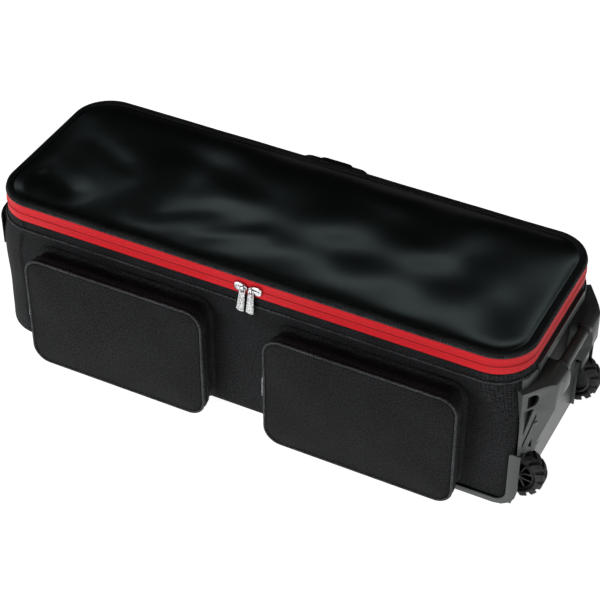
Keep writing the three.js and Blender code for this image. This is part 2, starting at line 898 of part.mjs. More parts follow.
function makeWheels() {
  [['front', -1], ['rear', 1]].forEach(([name, side]) => {
    const wheel = groupAt(wheelCentreX, wheelMiddleY * side, wheelZ);
    wheel.rotation.z = side < 0 ? Math.PI : 0;
    mesh(`tyre_${name}`, tyreSolid(), tyreRubber, wheel);
    mesh(`wheel_rim_${name}`, rimSolid(), rimPlastic, wheel);
    const sleeve = axleRadius + axleClearance;
    const half = wheelWidth / 2;
    mesh(`wheel_bush_${name}`, ringAbout(sleeve, sleeve + bushWall, -half, half, boreSteps), nylon, wheel);
    const shaft = discAbout(axleRadius, -half - wellSideGap - wellWall, half + seatGap * 2, boreSteps);
    const head = turned([
      new THREE.Vector2(0, half + seatGap),
      new THREE.Vector2(axleHeadRadius, half + seatGap),
      new THREE.Vector2(axleHeadRadius, half + seatGap + axleHeadHeight * 0.5),
      new THREE.Vector2(axleHeadRadius * 0.6, half + seatGap + axleHeadHeight),
      new THREE.Vector2(0, half + seatGap + axleHeadHeight),
    ], boreSteps);
    mesh(`axle_${name}`, join(shaft, head), steel, wheel);
  });
}

// Moulded wheel base: a skid plate, two wheel wells and the guards that turn up the corners.

// Guard on the long side: a strip along the lower edge that turns up into a leg at the corner.
function guardOutline() {
  const foot = guardFoot;
  const outer = guardOuterRadius;
  const legInner = guardLegX - guardLegWidth;
  const inner = outer - guardLegWidth;
  const top = guardStripHeight;
  const round = guardLegWidth / 4;
  return [
    new THREE.Vector2(trayStart, foot),
    ...arc(guardLegX - outer, foot + outer, outer, -Math.PI / 2, 0),
    ...arc(guardLegX - round, guardTop - round, round, 0, Math.PI / 2, roundSteps),
    ...arc(legInner + round, guardTop - round, round, Math.PI / 2, Math.PI, roundSteps),
    ...arc(legInner - inner, top + inner, inner, 0, -Math.PI / 2),
    new THREE.Vector2(trayStart, top),
  ];
}

function wellLiner(side) {
  const order = (a, b) => [a * side, b * side].sort((p, q) => p - q);
  const endX = guardLegX - guardThickness;
  const outerEnd = guardLegX - guardLegWidth;
  const shell = block([wellBackX, endX], order(wellInnerY, wellOuterY), [trayRise, wellTop]);
  const room = block(
    [wellBackX + wellWall, endX + overrun],
    order(wellInnerY + wellWall, wellOuterY - wellWall),
    [-overrun, wellTop - wellWall],
  );
  const outerTrim = block(
    [outerEnd, endX + overrun],
    order(wellOuterY - wellWall * 2, wellOuterY + overrun),
    [-overrun, wellTop - wellWall],
  );
  const boss = discAbout(hubRadius, wellInnerY + wellWall / 2, wheelInnerY - seatGap, boreSteps);
  const placed = boss.scale([1, side, 1]).translate([wheelCentreX, 0, wheelZ]);
  const bore = discAbout(axleRadius + axleClearance, -bodyDepth, bodyDepth, boreSteps);
  return cut(join(cut(shell, room, outerTrim), placed), bore.translate([wheelCentreX, 0, wheelZ]));
}

function makeBase() {
  const sideY = halfDepth + seatGap;
  const guard = (side) => {
    const y = [sideY * side, (sideY + guardThickness) * side].sort((a, b) => a - b);
    return sidePrism(guardOutline(), y[0], y[1]);
  };
  const plateTop = bodyBase - seatGap;
  const plateEnd = halfLength + seatGap + frameThickness;
  const wellY = wellInnerY + wellWall;
  const middle = block([trayStart, plateEnd], [-wellY, wellY], [trayRise, plateTop]);
  const shoulder = block(
    [trayStart, wellBackX + wellWall],
    [-sideY - guardThickness / 2, sideY + guardThickness / 2],
    [trayRise, plateTop],
  );
  const ties = [-1, 1].map((side) => {
    const y = [(wellOuterY - wellWall) * side, (sideY + guardThickness) * side].sort((a, b) => a - b);
    const endWall = [halfLength + seatGap, halfLength + seatGap + frameThickness];
    const upper = block(endWall, y, [guardStripHeight, armBase - seatGap]);
    const lower = block([wellBackX, guardLegX - guardOuterRadius], y, [trayRise, plateTop]);
    return join(upper, lower);
  });
  const pocketRoom = sidePrism(pocketOutline(-seatGap), -bodyDepth, -halfDepth + seatGap)
    .translate([pocketRightCentre, 0, pocketBase]);
  const base = join(middle, shoulder, guard(-1), guard(1), wellLiner(-1), wellLiner(1), ...ties);
  mesh('wheel_base', cut(base, pocketRoom), mouldedPlastic);
}

// Moulded end frame

// The arm's outline from above, on the pocket side.
function armPlan(inset) {
  const noseX = halfLength + armReach - inset;
  const innerY = -gripHalfLength - inset;
  const along = new THREE.Vector2(plateEndX - plateStartX, plateStartY - plateEndY).normalize();
  const normal = new THREE.Vector2(along.y, -along.x);
  const shift = normal.clone().multiplyScalar(-inset);
  const start = new THREE.Vector2(plateStartX, -plateStartY).add(shift);
  const end = new THREE.Vector2(plateEndX, -plateEndY).add(shift);
  const root = start.clone().addScaledVector(along, -wallThickness / 4);
  const deep = root.clone().add(new THREE.Vector2(-cornerRadius / 2, armNoseRadius));
  const radius = armCornerRadius - inset;
  return [
    deep,
    root,
    end,
    new THREE.Vector2(noseX - radius / 4, end.y + radius * 0.7),
    new THREE.Vector2(noseX, end.y + radius * 1.6),
    new THREE.Vector2(noseX, innerY),
    new THREE.Vector2(halfLength - wallThickness, innerY),
    new THREE.Vector2(halfLength - wallThickness, deep.y),
  ];
}

// The arm seen from the side: flat top, round nose, and a lower edge that falls back to the leg.
function armSide(inset) {
  const noseX = halfLength + armReach - inset;
  const top = armTop - inset;
  const radius = armNoseRadius - inset;
  const base = armBase - inset * 4;
  return [
    new THREE.Vector2(halfLength - cornerRadius, base),
    new THREE.Vector2(armLegX - inset, base),
    new THREE.Vector2(armLegX - inset, armLegTop),
    new THREE.Vector2(noseX, armNoseBase),
    ...arc(noseX - radius, top - radius, radius, 0, Math.PI / 2),
    new THREE.Vector2(halfLength - cornerRadius, top),
  ];
}

// Places a shape drawn in the side plate's own plane, with X along the plate and Y up, through the plate.
function throughPlate(outline) {
  const shape = new THREE.Shape(outline);
  const depth = armWall * 4;
  const geometry = new THREE.ExtrudeGeometry(shape, { depth, bevelEnabled: false });
  geometry.translate(0, 0, -depth / 2);
  geometry.rotateX(Math.PI / 2);
  geometry.rotateZ(plateAngle);
  geometry.translate(plateStartX, -plateStartY, 0);
  return solid(geometry);
}

// Openings of the side plate: a D-shaped finger window, a triangle, a long slot and a small triangle.
function plateOpenings() {
  const at = (alongShare, z) => new THREE.Vector2(plateLength * alongShare, z);
  const drop = armTop - armBase;
  const up = (share) => armBase + drop * share;
  const windowRadius = drop * 0.092;
  const windowMiddle = up(0.84);
  const window = [
    at(0.14, windowMiddle - windowRadius),
    ...arc(plateLength * 0.29, windowMiddle, windowRadius, -Math.PI / 2, Math.PI / 2, smallSteps),
    at(0.14, windowMiddle + windowRadius),
  ];
  const triangle = [at(0.025, up(0.71)), at(0.025, up(0.22)), at(0.36, up(0.71))];
  const slot = [at(0.08, up(0.07)), at(0.46, up(0.565)), at(0.43, up(0.6)), at(0.05, up(0.11))];
  const small = [at(0.27, up(0.1)), at(0.385, up(0.065)), at(0.38, up(0.21))];
  return [window, triangle, slot, small].map(throughPlate);
}

function armSolid() {
  const outer = prism(armPlan(0), 0, armTop + overrun).intersect(
    sidePrism(armSide(0), -halfDepth - overrun, overrun),
  );
  const inner = prism(armPlan(armWall), -overrun, armTop + overrun).intersect(
    sidePrism(armSide(armWall), -halfDepth - overrun, overrun),
  );
  const strutOutline = [
    new THREE.Vector2(halfLength, armLegTop),
    new THREE.Vector2(armLegX - armWall / 2, armLegTop),
    new THREE.Vector2(halfLength + armReach - armWall / 2, armNoseBase),
    new THREE.Vector2(halfLength + armReach - armWall / 2, armTop - armNoseRadius),
    new THREE.Vector2(halfLength, armTop - armNoseRadius),
  ];
  const strut = sidePrism(strutOutline, -strutY - armWall, -strutY);
  const plan = prism(armPlan(armWall / 2), 0, armTop);
  const innerTrim = sidePrism([
    new THREE.Vector2(halfLength - overrun, armBase - overrun),
    new THREE.Vector2(halfLength + armReach + overrun, armBase - overrun),
    new THREE.Vector2(halfLength + armReach + overrun, armNoseBase),
    new THREE.Vector2(halfLength + armReach - armWall, armNoseBase),
    new THREE.Vector2(halfLength - overrun, armLegTop + armNoseRadius),
  ], -strutY, overrun);
  const grille = [];
  for (let i = 0; i < grilleSlots; i += 1) {
    const x = halfLength + frameThickness + grillePitch * (i + 1);
    const top = armTop - grilleDrop;
    grille.push(block(
      [x - grilleSlotWidth / 2, x + grilleSlotWidth / 2],
      [-gripHalfLength - armWall - seatGap, -gripHalfLength + seatGap],
      [top - grilleSlotHeight, top],
    ));
  }
  const shell = cut(outer, inner, innerTrim, ...plateOpenings(), ...grille);
  return join(shell, strut.intersect(plan));
}

function collar() {
  const start = gripHalfLength - collarLength;
  const sleeve = ringAbout(gripRadius + seatGap, collarRadius, start, gripHalfLength + armWall / 2, gripSteps);
  const back = discAbout(collarRadius, gripHalfLength + seatGap, gripHalfLength + armWall, gripSteps);
  return join(sleeve, back).translate([gripX, 0, gripZ]);
}

function makeEndFrame() {
  const frameZ = [wellTop + seatGap, ...tubHeights.filter((z) => z > wellTop && z < frameTop), frameTop];
  const cap = solid(loft(frameZ.map((z) => atHeight(tubRing(z, seatGap + frameThickness), z))));
  const flangeX = (z) => {
    const wrap = (flangeStart + flangeWrap) * smooth(z, cornerFlareStart, bindingHeight);
    return halfLength + flangeStart - wrap;
  };
  const flange = sidePrism([
    new THREE.Vector2(halfLength + overrun, wellTop),
    new THREE.Vector2(halfLength + overrun, frameTop),
    ...[...frameZ].reverse().map((z) => new THREE.Vector2(flangeX(z), z)),
  ], -halfDepth - overrun, halfDepth + overrun);
  const lowerPanel = block(
    [halfLength + seatGap, halfLength + seatGap + frameThickness],
    [-wellInnerY + seatGap, wellInnerY - seatGap],
    [bodyBase, wellTop + wellWall],
  );
  const topBar = block(
    [halfLength + seatGap, halfLength + seatGap + frameThickness + topBarProud],
    [-topBarHalfWidth, topBarHalfWidth],
    [frameTop - wallThickness, frameTop - wallThickness + topBarHeight],
  );
  const recess = prism(
    roundedOutline(
      [-recessHalfWidth, recessHalfWidth],
      [recessBase, frameTop - wallThickness],
      [wallThickness, wallThickness],
    ),
    -overrun,
    overrun,
  ).rotate([90, 0, 90]).translate([halfLength, 0, 0]);
  const arms = [1, -1].map((side) => {
    const arm = armSolid();
    return side > 0 ? arm : arm.scale([1, -1, 1]);
  });
  const collars = [1, -1].map((side) => collar().scale([1, side, 1]));
  const plate = cut(join(cap.intersect(flange), lowerPanel, topBar), recess);
  const frame = cut(join(plate, ...arms, ...collars), tubSolid(seatGap));
  mesh('end_frame', frame, mouldedPlastic);

  const tube = discAbout(gripRadius, -gripHalfLength, gripHalfLength, gripSteps);
  mesh('grip_bar', tube.translate([gripX, 0, gripZ]), mouldedPlastic);
}

// Screws that hold the arms' side plates to the struts behind them.
function makeScrews() {
  const along = plateLength * 0.45;
  const z = armBase + (armTop - armBase) * 0.45;
  [['front', -1], ['rear', 1]].forEach(([name, side]) => {
    const head = discAbout(screwRadius, seatGap, seatGap + screwHeadHeight, boreSteps);
    const screw = mesh(`frame_screw_${name}`, head, steel);
    const x = plateStartX + along * Math.cos(plateAngle);
    const y = plateStartY - along * Math.sin(plateAngle);
    screw.position.set(x, side * y, z);
    screw.rotation.z = side > 0 ? -plateAngle : plateAngle - Math.PI;
  });
}

// Runners under the tub, level with the bottom of the wheels.
function makeRunners() {
  [['front', -1], ['middle', 0], ['rear', 1]].forEach(([name, side]) => {
    const outline = roundedOutline(
      [runnerStart, trayStart - runnerGap],
      [side * runnerY - runnerWidth / 2, side * runnerY + runnerWidth / 2],
      [runnerWidth / 2.2, runnerWidth / 2.2],
      cornerSteps,
    );
    mesh(`base_runner_${name}`, prism(outline, 0, bodyBase - seatGap), mouldedPlastic);
  });
}

// Webbing handle across the plain end: sewn round both corners and bowed out between them.
function makeEndHandle() {
  const left = -halfLength - endBulge;
  const cx = left + cornerRadius;
  const cy = halfDepth - cornerRadius;
  const near = cornerRadius + seatGap;
  const wrap = (Math.PI / 2) * endHandleWrapShare;
  const bow = (offset) => {
    const points = [];
    for (let i = 1; i < bowSteps; i += 1) {
      const share = i / bowSteps;
      const reach = endHandleStandOff * Math.sin(share * Math.PI) ** 2;
      points.push(new THREE.Vector2(left - seatGap - offset - reach, cy - 2 * cy * share));
    }
    return points;
  };
  const side = (offset) => [
    ...arc(cx, cy, near + offset, Math.PI - wrap, Math.PI),
    ...bow(offset),
    ...arc(cx, -cy, near + offset, Math.PI, Math.PI + wrap),
  ];
  const outline = [...side(0), ...side(endHandleThickness).reverse()];
  mesh('end_handle', prism(outline, endHandleBase, endHandleBase + endHandleHeight), webbing);
}

// Carry handle on the back: a webbing loop with a padded wrap, hinged at its two sewn patches.
function makeRearHandle() {
  const pivotY = halfDepth + seatGap + wrapThickness / 2;
  const hinge = groupAt(rearHandleCentre, pivotY, rearHandleHinge);
  hinge.rotation.x = THREE.MathUtils.degToRad(rearHandleTilt);
  const half = rearHandleSpan / 2;
  const outer = roundedOutline(
    [-half, half],
    [-rearHandleReach, rearHandleReach],
    [strapWidth, strapWidth],
    roundSteps * 2,
  );
  const inner = roundedOutline(
    [-half + strapWidth, half - strapWidth],
    [-rearHandleReach + strapWidth, rearHandleReach - strapWidth],
    [strapWidth / 4, strapWidth / 4],
    cornerSteps,
  );
  const loop = prism(outer, -strapThickness / 2, strapThickness / 2, [inner]);
  const below = block(
    [-half - overrun, half + overrun],
    [-rearHandleReach - overrun, 0],
    [-overrun, overrun],
  );
  const rolls = [-1, 1].map((side) => (
    discAbout(strapThickness / 2, -strapWidth / 2, strapWidth / 2, smallSteps)
      .rotate([0, 0, 90])
      .translate([side * (half - strapWidth / 2), 0, 0])
  ));
  mesh('rear_handle_strap', join(cut(loop, below), ...rolls), webbing, hinge);

  const middle = rearHandleReach - strapWidth / 2;
  const round = wrapThickness / 2.2;
  const wrapOutline = roundedOutline(
    [middle - wrapHeight / 2, middle + wrapHeight / 2],
    [-wrapThickness / 2, wrapThickness / 2],
    [round, round],
    cornerSteps,
  );
  const wrap = prism(wrapOutline, -wrapLength / 2, wrapLength / 2).rotate([90, 0, 90]);
  const strapRoom = block(
    [-wrapLength, wrapLength],
    [middle - strapWidth / 2 - seatGap, middle + strapWidth / 2 + seatGap],
    [-strapThickness / 2 - seatGap, strapThickness / 2 + seatGap],
  );
  mesh('rear_handle_wrap', cut(wrap, strapRoom), webbing, hinge);

  [['left', -1], ['right', 1]].forEach(([name, side]) => {
    const x = rearHandleCentre + side * (half - strapWidth / 2);
    const patch = block(
      [x - patchWidth / 2, x + patchWidth / 2],
      [halfDepth + seatGap, halfDepth + seatGap + patchThickness],
      [rearHandleHinge + strapThickness - patchHeight, rearHandleHinge + strapThickness],
    );
    mesh(`rear_handle_patch_${name}`, patch, webbing);
  });
}

makeBody();
makeBinding();
makeZip();
makeLid();
makeSliders();
makePockets();
makeWheels();
makeBase();
makeEndFrame();
makeScrews();
makeRunners();
makeEndHandle();
makeRearHandle();

export default hardwareCase;
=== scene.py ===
"""Drum hardware case: a padded wheeled bag with a zipped vinyl lid, front pockets and a moulded wheel end.

Laid out as an add-on whose operators each make one group of pieces, and run as a script.
Lengths are in metres. X runs along the case towards the wheels, -Y is the pocket side, Z is up.
"""

import json
import math
from contextlib import contextmanager

import bmesh
import bpy
import numpy as np
from bpy.props import FloatProperty, FloatVectorProperty, PointerProperty
from mathutils import Matrix, Vector

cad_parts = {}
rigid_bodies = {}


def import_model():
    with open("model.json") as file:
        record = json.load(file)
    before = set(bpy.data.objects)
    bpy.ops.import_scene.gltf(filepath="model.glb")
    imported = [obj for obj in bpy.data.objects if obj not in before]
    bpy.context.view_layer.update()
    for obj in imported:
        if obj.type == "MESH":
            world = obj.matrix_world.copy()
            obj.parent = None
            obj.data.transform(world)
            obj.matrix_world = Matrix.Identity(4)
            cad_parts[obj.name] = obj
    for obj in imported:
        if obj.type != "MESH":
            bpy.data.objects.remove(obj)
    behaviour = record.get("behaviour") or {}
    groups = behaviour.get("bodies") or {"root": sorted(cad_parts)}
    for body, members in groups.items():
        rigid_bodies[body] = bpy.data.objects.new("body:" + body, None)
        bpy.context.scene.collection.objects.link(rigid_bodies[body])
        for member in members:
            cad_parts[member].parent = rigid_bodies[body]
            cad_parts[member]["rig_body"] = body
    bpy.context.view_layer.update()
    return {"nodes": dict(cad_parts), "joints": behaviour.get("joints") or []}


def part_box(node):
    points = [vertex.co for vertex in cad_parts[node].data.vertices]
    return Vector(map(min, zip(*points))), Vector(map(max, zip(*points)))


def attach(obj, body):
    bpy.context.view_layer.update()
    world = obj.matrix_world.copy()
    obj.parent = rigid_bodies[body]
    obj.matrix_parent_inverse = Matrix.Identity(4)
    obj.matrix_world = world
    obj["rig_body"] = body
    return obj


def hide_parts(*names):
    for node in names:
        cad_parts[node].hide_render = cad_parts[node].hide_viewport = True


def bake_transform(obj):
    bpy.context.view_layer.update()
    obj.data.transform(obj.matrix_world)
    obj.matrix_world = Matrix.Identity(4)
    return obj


bl_info = {
    "name": "Drum Hardware Case",
    "version": (1, 0, 0),
    "blender": (4, 5, 0),
    "location": "3D View > Sidebar > Case",
    "description": "Makes the soft, moulded and metal pieces of a wheeled drum hardware case",
    "category": "Add Mesh",
}

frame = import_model()
MM = 0.001
QUARTER = math.pi / 2
TURN = 2 * math.pi

# Steps on the long sides, on each corner and on the short sides
TUB_STEPS = (150, 14, 60)
LID_STEPS = (170, 20, 64)
ZIP_STEPS = (170, 18, 60)
GUSSET_STEPS = (140, 16, 90)
FRONT_STEPS = (90, 12, 60)


# Settings

def length(name, description, value):
    return FloatProperty(
        name=name, description=description, default=value * MM, unit="LENGTH", subtype="DISTANCE"
    )


def colour(name, description, value):
    return FloatVectorProperty(
        name=name, description=description, default=value, size=3, min=0, max=1, subtype="COLOR"
    )


class CaseTubSizes(bpy.types.PropertyGroup):
    half_length: length("Half length", "From the middle to either end at the rim", 500.0)
    half_depth: length("Half depth", "From the middle to the front or the back", 175.0)
    corner: length("Corner radius", "Plan radius of the corners at the rim", 70.0)
    wheel_corner: length("Wheel corner radius", "Plan radius of the wheel end's corners low down", 16.0)
    flare_start: length("Flare start", "Height at which the wheel end's corners begin to grow", 130.0)
    binding: length("Binding height", "Height of the binding line below the zip", 258.0)
    rim: length("Rim height", "Height of the tub's upper edge", 276.0)
    base: length("Base height", "Height of the tub's underside", 6.0)
    wall: length("Wall", "Thickness of the padded wall", 8.0)
    lower_edge: length("Lower edge", "Radius of the rounded lower edge", 12.0)
    bulge: length("End bulge", "How far the plain end swells past the rim", 14.0)
    slack: length("Slack", "Height of the soft waves in the fabric", 0.8)


class CaseLidSizes(bpy.types.PropertyGroup):
    zip_line: length("Zip line", "Height of the line where the zip parts", 292.0)
    top: length("Lid top", "Height of the lid's raised border", 318.3)
    shoulder: length("Shoulder", "Height of the piping's upper side", 312.3)
    border: length("Border width", "Width of the raised fabric border", 14.0)
    sag: length("Edge drop", "How far the vinyl falls away just inside the border", 5.0)
    bowl: length("Bowl", "How far the vinyl hangs in the middle below its edge", 13.0)
    fold: length("Fold", "Height of the folds in the vinyl", 3.0)


class CasePocketSizes(bpy.types.PropertyGroup):
    half_width: length("Half width", "Half the width of a pocket", 176.0)
    height: length("Height", "Height of a pocket", 232.0)
    base: length("Base height", "Height of a pocket's lower edge", 7.0)
    corner: length("Corner radius", "Radius of a pocket's corners", 32.0)
    depth: length("Depth", "From the tub's face to a pocket's edge", 50.0)
    crown: length("Crown", "How far the padded front swells", 7.0)
    slack: length("Slack", "How far the gusset sags inwards", 6.0)
    zip_depth: length("Zip depth", "From the tub's face to the pocket zip", 37.5)
    left: length("Left pocket", "Middle of the left pocket", -231.0)
    right: length("Right pocket", "Middle of the right pocket", 239.0)
    zip_end: length("Zip end", "Height at which the pocket zip ends", 115.15)


class CaseColours(bpy.types.PropertyGroup):
    fabric: colour("Fabric", "Woven fabric", (0.0062, 0.0066, 0.0072))
    vinyl: colour("Vinyl", "Coated sheet of the lid", (0.0012, 0.0015, 0.0017))
    webbing: colour("Webbing", "Handles and bindings", (0.008, 0.0085, 0.009))
    zip_red: colour("Zip red", "Main zip", (0.92, 0.012, 0.022))
    plastic: colour("Plastic", "Moulded parts", (0.054, 0.060, 0.057))
    rubber: colour("Rubber", "Tyres", (0.035, 0.040, 0.040))
    metal: colour("Metal", "Sliders, pulls and axles", (0.82, 0.83, 0.84))
    floor: colour("Floor", "Plain floor", (0.86, 0.86, 0.86))


def sizes(group):
    """The sizes of the tub, the lid or the pocket."""
    return getattr(bpy.context.scene, "case_" + group)


def shaded(base, factor):
    """A colour made paler or darker by a factor."""
    return (base[0] * factor, base[1] * factor, base[2] * factor, 1.0)


def tint(name, factor=1.0):
    """One of the settings' colours."""
    return shaded(getattr(bpy.context.scene.case_colours, name), factor)


# Surfaces

def smooth(value, low, high):
    """Goes from 0 to 1 between two limits with level ends: 3s^2 - 2s^3."""
    s = np.clip((np.asarray(value, float) - low) / (high - low), 0, 1)
    return s * s * (3 - 2 * s)


def bell(value, middle, width):
    """A hump of height 1 round a middle: exp(-((value - middle) / width)^2)."""
    return np.exp(-((value - middle) / width) ** 2)


def waves(u, v, *parts):
    """A sum of sines, each with its height, its pace along u, its pace along v and its start."""
    return sum(height * np.sin(u * pace_u + v * pace_v + start) for height, pace_u, pace_v, start in parts)


def squared(wave, power):
    """A sine or cosine raised to a power with its sign kept, which squares a round outline off."""
    return np.sign(wave) * np.abs(wave) ** power


def round_turn(count):
    """Evenly spaced angles of one full turn."""
    return np.linspace(0, TURN, count + 1)[:-1]


def round_section(count, inset, width, level, height):
    """A cord's section: insets and levels of points on an ellipse."""
    angle = round_turn(count)
    return inset - width * np.cos(angle), level + height * np.sin(angle)


def points_of(x, y, z):
    """Points from three arrays that are spread to one common shape."""
    return np.stack(np.broadcast_arrays(x, y, z), axis=-1)


def outline_at(t, x_low, x_high, half, r_low, r_high):
    """Points of a rounded rectangle, with its limits and radii given per level.

    t counts eight stretches: front, front wheel corner, wheel end, back wheel corner, back, back plain
    corner, plain end, front plain corner. A straight stretch runs evenly and a corner turns evenly.
    """
    t = np.mod(np.asarray(t, float), 8)[None, :]
    k = np.floor(t).astype(int)
    f = t - k
    xl, xh, hy, rl, rh = (np.asarray(v, float).reshape(-1, 1) for v in (x_low, x_high, half, r_low, r_high))
    c, s = np.cos(f * QUARTER), np.sin(f * QUARTER)
    left, right = xl + rl, xh - rh
    wheel, end = hy - rh, hy - rl
    xs = [
        left + f * (right - left), right + rh * s, xh + 0 * f, right + rh * c,
        right + f * (left - right), left - rl * s, xl + 0 * f, left - rl * c,
    ]
    ys = [
        -hy + 0 * f, -wheel - rh * c, -wheel + f * 2 * wheel, wheel + rh * s,
        hy + 0 * f, end + rl * c, end - f * 2 * end, -end - rl * s,
    ]
    return np.choose(k, xs), np.choose(k, ys)


def stretch_steps(long, corner, short, start=0.0, end=8.0):
    """Values of t for outline_at, with a number of steps for each kind of stretch."""
    counts = (long, corner, short, corner)
    values = [start]
    for whole in range(math.floor(start), math.ceil(end)):
        count = counts[whole % 4]
        steps = whole + np.arange(count) / count
        values.extend(v for v in steps if start < v < end)
    if end - start < 8 - 1e-9:
        values.append(end)
    return np.array(values)


def along(points):
    """Distance along a row of points, starting from 0."""
    steps = np.linalg.norm(np.diff(points, axis=0), axis=1)
    return np.concatenate([[0], np.cumsum(steps)])


def run_map(points):
    """Cloth places of a grid: distances along its first column and along its first row."""
    return along(points[:, 0]), along(points[0])


def filled_outline(columns, rows, corner_rows, hx, hy, radius):
    """A grid of points that fills a rounded rectangle: each row across it is as wide as the outline is there.

    The rows of a corner stand at equal turns of its arc, so the outline stays round.
    """
    turn = np.linspace(0, QUARTER, corner_rows + 1)
    arc_y = hy - radius + radius * np.sin(turn)
    arc_x = hx - radius + radius * np.cos(turn)
    straight = np.linspace(-(hy - radius), hy - radius, rows)[1:-1]
    y = np.concatenate([-arc_y[::-1], straight, arc_y])
    half = np.concatenate([arc_x[::-1], np.full(len(straight), hx), arc_x])
    x = np.linspace(-1, 1, columns)[None, :] * half[:, None]
    return x, np.broadcast_to(y[:, None], x.shape)


def inside_depth(x, y, hx, hy, radius):
    """How far points lie inside a rounded rectangle, measured square to its edge."""
    qx, qy = np.abs(x) - (hx - radius), np.abs(y) - (hy - radius)
    outside = np.hypot(np.maximum(qx, 0), np.maximum(qy, 0)) + np.minimum(np.maximum(qx, qy), 0)
    return np.clip(radius - outside, 0, None)


def rounded_profile(width, height, radius, steps):
    """Closed rounded rectangle about the origin, as pairs."""
    angles = np.linspace(0, QUARTER, steps + 1)
    corners = []
    for sx, sy, start in ((1, -1, -QUARTER), (1, 1, 0), (-1, 1, QUARTER), (-1, -1, 2 * QUARTER)):
        x = sx * (width / 2 - radius) + radius * np.cos(start + angles)
        y = sy * (height / 2 - radius) + radius * np.sin(start + angles)
        corners.append(np.stack([x, y], axis=-1))
    return np.concatenate(corners)


# Meshes

def mesh_from(name, points, faces, cloth=None):
    """A smooth mesh from points and faces, with the cloth place of each point where given."""
    mesh = bpy.data.meshes.new(name)
    mesh.from_pydata(points.reshape(-1, 3).tolist(), [], faces)
    if cloth is not None:
        lay_cloth(mesh, cloth.reshape(-1, 2))
    mesh.shade_smooth()
    mesh.validate()
    return mesh


def lay_cloth(mesh, pairs):
    """Gives each corner of the mesh the cloth place of its vertex."""
    layer = mesh.uv_layers.new(name="cloth")
    loops = np.zeros(len(mesh.loops), int)
    mesh.loops.foreach_get("vertex_index", loops)
    layer.data.foreach_set("uv", pairs[loops].ravel())


def coordinates(mesh):
    """The mesh's points as rows of an array."""
    values = np.empty(len(mesh.vertices) * 3)
    mesh.vertices.foreach_get("co", values)
    return values.reshape(-1, 3)


def quads_of(index):
    """The quads between neighbours of a grid of vertex numbers."""
    return np.stack([index[:-1, :-1], index[:-1, 1:], index[1:, 1:], index[1:, :-1]], axis=-1)


def grid_mesh(name, points, form, uv=None):
    """A mesh from a grid of points: rows run along the first axis and columns along the second.

    A ring is closed both ways. A tube has closed rows, with its first and last rows filled. A band has
    closed columns, with its first and last columns filled. A sheet is open. uv holds a length for each row
    and one for each column, or a grid of pairs.
    """
    index = np.arange(points.shape[0] * points.shape[1]).reshape(points.shape[:2])
    caps = {"tube": (index[0][::-1], index[-1]), "band": (index[:, 0], index[::-1, -1])}.get(form, ())
    if form in ("ring", "band"):
        index = np.concatenate([index, index[:1]])
    if form in ("ring", "tube"):
        index = np.concatenate([index, index[:, :1]], axis=1)
    faces = quads_of(index).reshape(-1, 4).tolist() + [cap.tolist() for cap in caps]
    if isinstance(uv, tuple):
        uv = np.stack(np.meshgrid(uv[1], uv[0]), axis=-1)
    return mesh_from(name, points, faces, uv)


def two_sided(name, front, back, quads, edges, cloth=None):
    """A closed mesh from the quads of a sheet, the same quads behind and walls along its open edges.

    Points that no face uses are left out.
    """
    behind = front.shape[0] * front.shape[1]
    start, end = edges[:, 0], edges[:, 1]
    walls = np.stack([start + behind, end + behind, end, start], axis=-1)
    faces = np.concatenate([quads, quads[:, ::-1] + behind, walls])
    used, faces = np.unique(faces, return_inverse=True)
    points = np.stack([front, back]).reshape(-1, 3)[used]
    if cloth is not None:
        cloth = np.stack([cloth, cloth]).reshape(-1, 2)[used]
    return mesh_from(name, points, faces.reshape(-1, 4).tolist(), cloth)


def pillow_mesh(name, front, back, cloth=None):
    """A closed mesh from two grids of points whose edges are joined all round."""
    rows, columns = front.shape[:2]
    index = np.arange(rows * columns).reshape(rows, columns)
    rim = np.concatenate([index[0, :-1], index[:-1, -1], index[-1, :0:-1], index[:0:-1, 0]])
    edges = np.stack([rim, np.roll(rim, -1)], axis=-1)
    return two_sided(name, front, back, quads_of(index).reshape(-1, 4), edges, cloth)


@contextmanager
def edited(mesh):
    """Opens a mesh for editing and writes it back."""
    work = bmesh.new()
    work.from_mesh(mesh)
    yield work
    work.to_mesh(mesh)
    work.free()


def point_outwards(mesh):
    with edited(mesh) as work:
        bmesh.ops.recalc_face_normals(work, faces=work.faces)


def joined(name, meshes):
    """One mesh from several."""
    made = bpy.data.meshes.new(name)
    with edited(made) as work:
        for mesh in meshes:
            work.from_mesh(mesh)
            bpy.data.meshes.remove(mesh)
        bmesh.ops.recalc_face_normals(work, faces=work.faces)
    made.shade_smooth()
    return made


def moved(mesh, place, facing=0.0, lean=0.0, scale=1.0, flip=False):
    """The mesh scaled, flipped along X where asked, leaned about Y, turned about Z and moved to its place."""
    turned = Matrix.Rotation(facing, 4, "Z") @ Matrix.Rotation(lean, 4, "Y")
    scaled = Matrix.Diagonal((-scale if flip else scale, scale, scale, 1.0))
    mesh.transform(Matrix.Translation(place) @ turned @ scaled)
    return mesh


def strip_along(name, path, width, thick, across, steps=3):
    """A flat bar of rounded section carried along a path that lies square to the across direction."""
    across = np.asarray(across, float)
    tangent = np.gradient(path, axis=0)
    tangent /= np.linalg.norm(tangent, axis=1, keepdims=True)
    normal = np.cross(tangent, across)
    section = rounded_profile(width, thick, min(width, thick) * 0.45, steps)
    wide, deep = section[None, :, 0, None], section[None, :, 1, None]
    points = path[:, None, :] + wide * across + deep * normal[:, None, :]
    return grid_mesh(name, points, "tube")


# Pieces of the scene

def placed(name, data):
    """Puts a mesh, light or camera into the scene."""
    obj = bpy.data.objects.new(name, data)
    bpy.context.scene.collection.objects.link(obj)
    return obj


